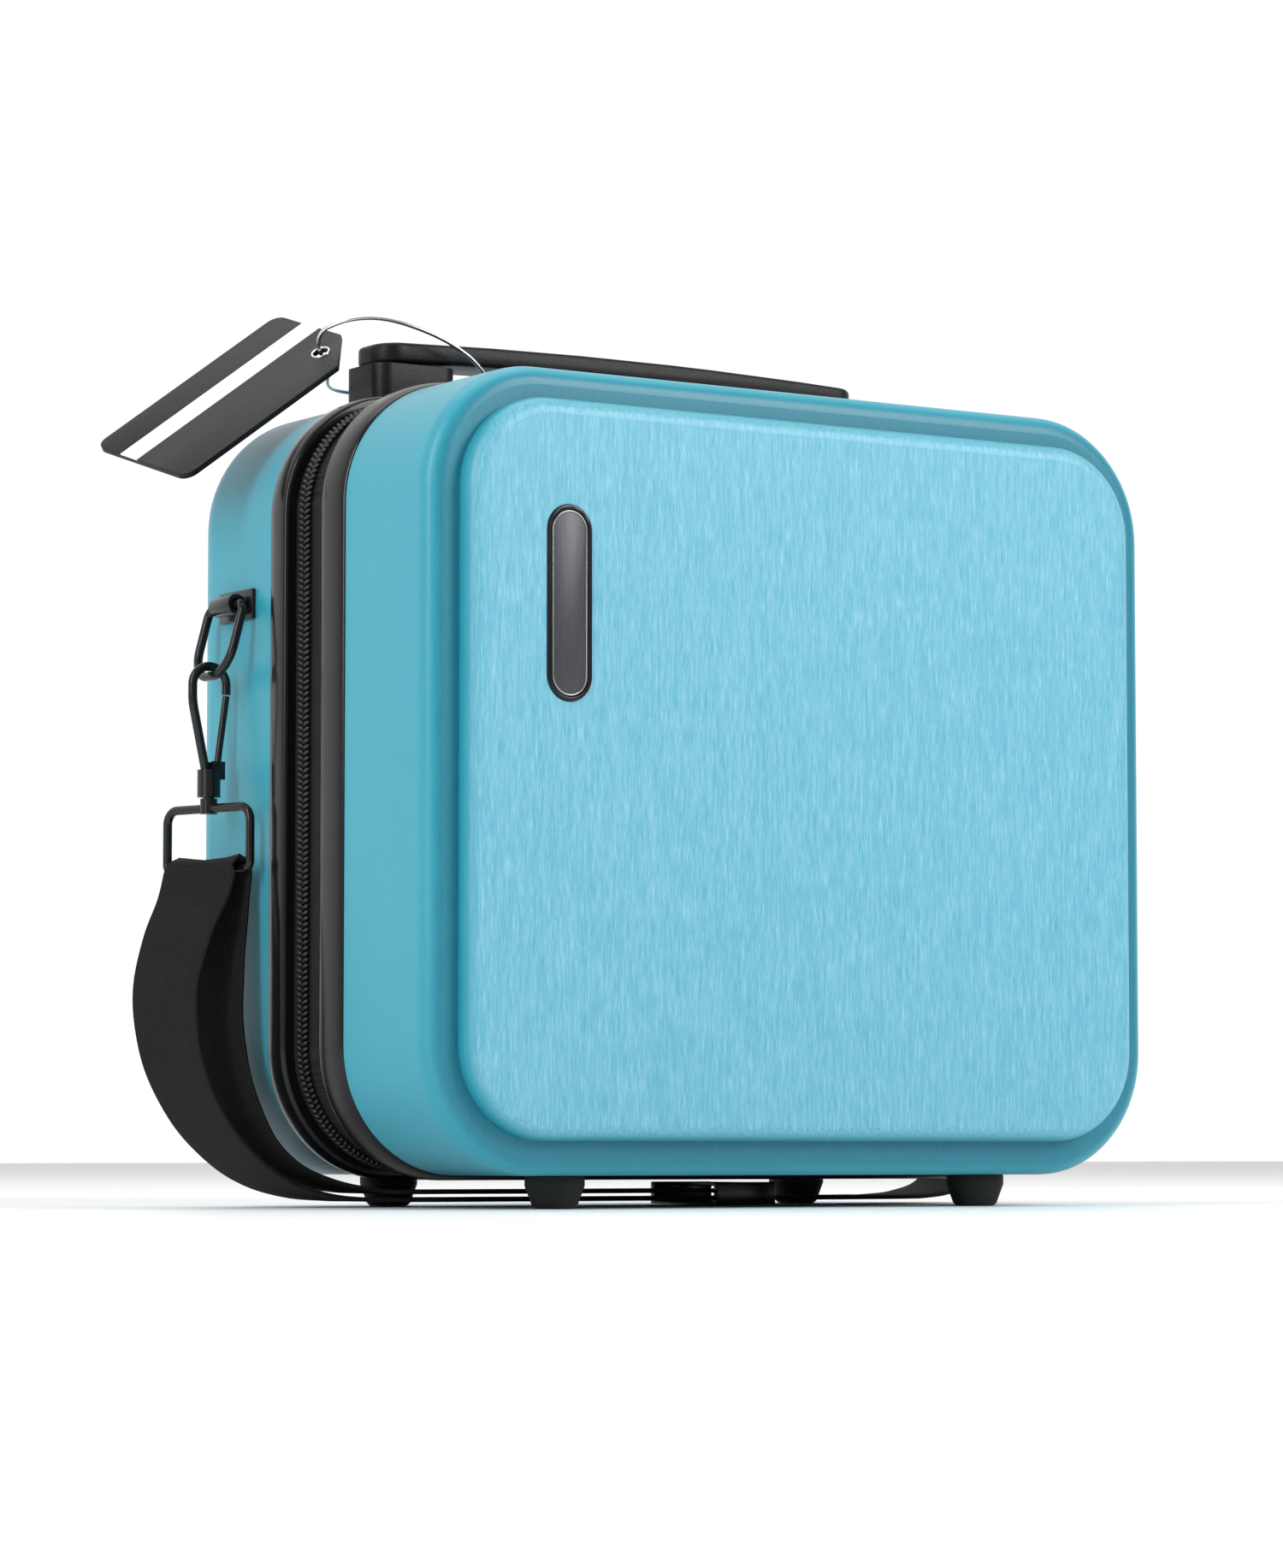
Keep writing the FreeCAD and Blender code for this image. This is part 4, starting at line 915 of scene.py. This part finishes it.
tag_hole = Vector((-122, 56, 312)) * MM
tag_down = Vector((-0.804, 0.022, -0.593)).normalized()
tag_facing = tag_down.cross(Vector((0.199, -0.931, -0.306))).normalized()
tag_across = tag_facing.cross(tag_down)
TAG_HALF_THICK = 1.1 * MM
EYELET_RADIUS = 3.3
eyelet_path = []
for step in range(32):
    angle = 2 * math.pi * step / 32
    eyelet_path.append(tag_hole + tag_facing * TAG_HALF_THICK
                       + tag_down * EYELET_RADIUS * MM * math.cos(angle)
                       + tag_across * EYELET_RADIUS * MM * math.sin(angle))
eyelet = ring_along("tag_eyelet", eyelet_path, 0.45 * MM, "bright_metal")
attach(eyelet, "tag")

# %% [markdown]
# ## Inside
#
# Both halves are lined with cloth. The base has a padded board with two elastic bands, stitched down
# at steps so that each stretch makes a loop for a cable. The lid has a zipped net pocket.

# %% Linings
FOLD = 0.35 * MM
WALL_ROWS = 13
TURN_ROWS = 8
DEEPEST_INSET = 44.9 * MM


def lining(name, node, mouth, end, floor_radius):
    """Cloth tray: ruffled wall, rounded turn and flat floor, as one closed thin sheet."""
    drop = 2.8 * MM
    thick = 1.1 * MM
    depth = abs(end - mouth)
    sign = 1 if end > mouth else -1
    stations = outline(0, 0.004)
    rows = []
    for step in range(WALL_ROWS):
        rows.append((mouth + sign * (depth - floor_radius) * step / (WALL_ROWS - 1), drop))
    for step in range(1, TURN_ROWS + 1):
        angle = math.radians(90 * step / TURN_ROWS)
        rows.append((end - sign * floor_radius * (1 - math.sin(angle)),
                     drop + floor_radius * (1 - math.cos(angle))))
    for inset in (22, 30, 40):
        rows.append((end, drop + inset * MM))
    vertices = []
    for offset in (0.0, thick):
        for row, (y, inset) in enumerate(rows):
            for index, (x, z, out_x, out_z) in enumerate(stations):
                ripple = 0
                if row < WALL_ROWS:
                    ripple = FOLD * math.sin(index * 0.9 + row * 0.4) * math.sin(row * 0.35)
                on_wall = row <= WALL_ROWS
                shift = 0 if on_wall else -sign * offset
                inwards = min(inset + (offset if on_wall else 0) + max(0, ripple), DEEPEST_INSET)
                vertices.append((x - out_x * inwards, y + shift, z - out_z * inwards))
    wide = len(stations)
    total = len(rows) * wide
    faces = []
    for row in range(len(rows) - 1):
        for column in range(wide):
            after = (column + 1) % wide
            quad = (row * wide + column, row * wide + after,
                    (row + 1) * wide + after, (row + 1) * wide + column)
            faces.append(quad)
            faces.append(tuple(total + index for index in reversed(quad)))
    for column in range(wide):
        after = (column + 1) % wide
        faces.append((column, after, total + after, total + column))
    base_ring = (len(rows) - 1) * wide
    faces.append(tuple(base_ring + column for column in range(wide)))
    faces.append(tuple(total + base_ring + column for column in range(wide)))
    return stands_for(new_object(name, vertices, faces, "lining_cloth", 50), node)


front_lining_low, front_lining_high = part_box("front_lining")
back_lining_low, back_lining_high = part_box("back_lining")
lining("lining_front", "front_lining", front_lining_high.y, front_lining_low.y, 6 * MM)
lining("lining_back", "back_lining", back_lining_low.y, back_lining_high.y, 13 * MM)

# %% Padded organiser board
board_low, board_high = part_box("organiser_board")
board_size = board_high - board_low
board_centre = ((board_low.x + board_high.x) / 2, (board_low.z + board_high.z) / 2)


def board_swell(x, z):
    """Full pad with a soft rolled edge and a shallow diamond quilting."""
    edge = min(board_size.x / 2 - abs(x), board_size.z / 2 - abs(z))
    roll = math.sqrt(max(0, 1 - (1 - min(1, max(0, edge) / (7 * MM))) ** 2))
    quilt = abs(math.sin((x + z) * math.pi / 0.044)) * abs(math.sin((x - z) * math.pi / 0.044))
    return board_size.y * (0.25 + 0.75 * roll) * (0.80 + 0.20 * quilt ** 0.5)


board = panel("padded_board", board_size.x, board_size.z, 18 * MM, board_centre, board_swell,
              board_high.y, "lining_cloth", 0.0025)
stands_for(board, "organiser_board")

# %% Elastic bands


def elastic(node, steps):
    """Band stitched down at even steps, standing off between them to make the cable loops."""
    low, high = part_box(node)
    size = high - low
    centre = ((low.x + high.x) / 2, (low.z + high.z) / 2)
    pitch = size.x / steps

    def swell(x, z):
        place = (x + size.x / 2) % pitch / pitch
        rib = 0.08 * MM * math.sin(z * 2 * math.pi / 0.0024)
        return 0.9 * MM + 2.6 * MM * math.sin(math.pi * place) ** 1.5 + rib

    piece = panel(node + "_cloth", size.x, size.z, 1.5 * MM, centre, swell, high.y,
                  "elastic_cloth", 0.0012)
    stands_for(piece, node)
    places = []
    for step in range(steps + 1):
        x = min(max(low.x + pitch * step, low.x + 1 * MM), high.x - 1 * MM)
        for rise in range(10):
            places.append(Vector((x, low.y + 0.35 * MM, low.z + (2 + 2.2 * rise) * MM)))
    seam = stitches(node + "_seams", places, Vector((0, 0, 1)), Vector((1, 0, 0)))
    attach(seam, body_of[node])


elastic("elastic_bands_upper", 6)
elastic("elastic_bands_lower", 4)

# %% Net pocket
NET_CORD = 0.5 * MM
net_low, net_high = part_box("net_pocket")


def net_mesh():
    """Diamond net of thin cords inside a bound edge."""
    cords = []
    cell = 5 * MM
    wide = net_high.x - net_low.x
    tall = net_high.z - net_low.z
    y = (net_low.y + net_high.y) / 2
    count = round((wide + tall) / cell)
    for direction in (1, -1):
        for index in range(1, count):
            start = index * cell
            points = []
            for step in range(round(tall / (2.5 * MM)) + 1):
                z = step * 2.5 * MM
                x = start - z if direction == 1 else start - tall + z
                if 0 <= x <= wide and z <= tall:
                    wave = 0.25 * MM * math.sin(2 * math.pi * x / cell)
                    points.append(Vector((net_low.x + x, y + direction * wave, net_low.z + z)))
            if len(points) > 1:
                cords.append(points)
    vertices = []
    faces = []
    for points in cords:
        first = len(vertices)
        for index, here in enumerate(points):
            after = points[min(index + 1, len(points) - 1)]
            before = points[max(index - 1, 0)]
            along = (after - before).normalized()
            side = along.cross(Vector((0, 1, 0))).normalized()
            for a, b in ((1, 0), (0, 1), (-1, 0), (0, -1)):
                vertices.append(here + side * (a * NET_CORD / 2)
                                + Vector((0, b * NET_CORD / 2, 0)))
        for row in range(len(points) - 1):
            for turn in range(4):
                a = first + row * 4 + turn
                b = first + row * 4 + (turn + 1) % 4
                faces.append((a, b, b + 4, a + 4))
        faces.append(tuple(range(first, first + 4)))
        faces.append(tuple(range(len(vertices) - 4, len(vertices))))
    return new_object("net_cords", vertices, faces, "net_cloth", 60)


stands_for(net_mesh(), "net_pocket")
binding_path = []
for start, end in (((0, 0), (1, 0)), ((1, 0), (1, 1)), ((1, 1), (0, 1)), ((0, 1), (0, 0))):
    for step in range(40):
        share = step / 40
        binding_path.append(Vector((
            net_low.x + (net_high.x - net_low.x) * (start[0] + (end[0] - start[0]) * share),
            (net_low.y + net_high.y) / 2,
            net_low.z + (net_high.z - net_low.z) * (start[1] + (end[1] - start[1]) * share))))
binding = ring_along("net_binding", binding_path, 1.1 * MM, "elastic_cloth", 6)
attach(binding, "lid")

# %% Pocket zip
zip_low, zip_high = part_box("pocket_zip")
zip_centre = ((zip_low.x + zip_high.x) / 2, (zip_low.z + zip_high.z) / 2)


def tape_ribs(x, z):
    return 0.7 * MM + 0.1 * MM * math.sin(z * 2 * math.pi / 0.0018)


pocket_tape = panel("pocket_zip_tape", zip_high.x - zip_low.x, zip_high.z - zip_low.z, 1 * MM,
                    zip_centre, tape_ribs, zip_low.y, "zip_cloth", 0.0008, 1)
stands_for(pocket_tape, "pocket_zip")

# %% Finish for each CAD node that stays
FINISHES = {"front_shell": "shell_film", "back_shell": "shell_film", "tag_strip": "tag_card"}
for name, item in nodes.items():
    if item.hide_render:
        continue
    usual = "bright_metal" if "screw" in name else "black_metal"
    item.data.materials.clear()
    item.data.materials.append(materials[FINISHES.get(name, usual)])
print("carried over:", sum(not item.hide_render for item in nodes.values()), "CAD pieces")

# %% [markdown]
# ## Stage
#
# The case stands on a plain pale floor. One large soft light comes from the front right, a narrower
# one from the left, and a weak one from above. Large lights give the long soft highlights that show
# how the shell's edges turn.

# %% Floor and lights


def floor():
    """A wide pale surface for the case to stand on."""
    reach = 6.0
    mesh = bpy.data.meshes.new("floor")
    corners = [(-reach, -reach, 0), (reach, -reach, 0), (reach, reach, 0), (-reach, reach, 0)]
    mesh.from_pydata(corners, [], [(0, 1, 2, 3)])
    ground = bpy.data.objects.new("floor", mesh)
    bpy.context.scene.collection.objects.link(ground)
    tree, shader = new_material("floor_white", (0.9, 0.9, 0.9), 0.5)
    tone = noise(tree, (3, 3, 3), 2, 0.5)
    tree.links.new(ramp(tree, tone, [(0.0, (0.88, 0.88, 0.88)), (1.0, (0.92, 0.92, 0.92))]),
                   shader.inputs["Base Color"])
    mesh.materials.append(materials["floor_white"])


def soft_light(name, place, target, size, power):
    data = bpy.data.lights.new(name, "AREA")
    data.shape = "RECTANGLE"
    data.size, data.size_y = size
    data.energy = power
    light = bpy.data.objects.new(name, data)
    light.location = place
    light.rotation_euler = (Vector(target) - Vector(place)).to_track_quat("-Z", "Y").to_euler()
    bpy.context.scene.collection.objects.link(light)


floor()
soft_light("key", (1.1, -1.7, 1.3), (0, 0, 0.15), (1.0, 1.3), 32)
soft_light("left_fill", (-1.9, -0.6, 1.1), (0, 0, 0.15), (0.45, 1.6), 20)
soft_light("top", (0, 0.3, 2.2), (0, 0, 0.2), (1.6, 1.6), 12)


def surround():
    """White behind the case and dimmer in front, so that the turning edges keep their shading."""
    world = bpy.data.worlds.new("surround")
    world.use_nodes = True
    tree = world.node_tree
    direction = tree.nodes.new("ShaderNodeTexCoord")
    split = tree.nodes.new("ShaderNodeSeparateXYZ")
    tree.links.new(direction.outputs["Generated"], split.inputs[0])
    brightness = tree.nodes.new("ShaderNodeMapRange")
    brightness.inputs["From Min"].default_value = -0.3
    brightness.inputs["From Max"].default_value = 0.5
    brightness.inputs["To Min"].default_value = 0.30
    brightness.inputs["To Max"].default_value = 1.05
    tree.links.new(split.outputs["Y"], brightness.inputs["Value"])
    background = tree.nodes["Background"]
    background.inputs["Color"].default_value = (1, 1, 1, 1)
    tree.links.new(brightness.outputs["Result"], background.inputs["Strength"])
    bpy.context.scene.world = world


surround()
bpy.context.scene.view_settings.view_transform = "Standard"
print("lights:", len(bpy.data.lights))
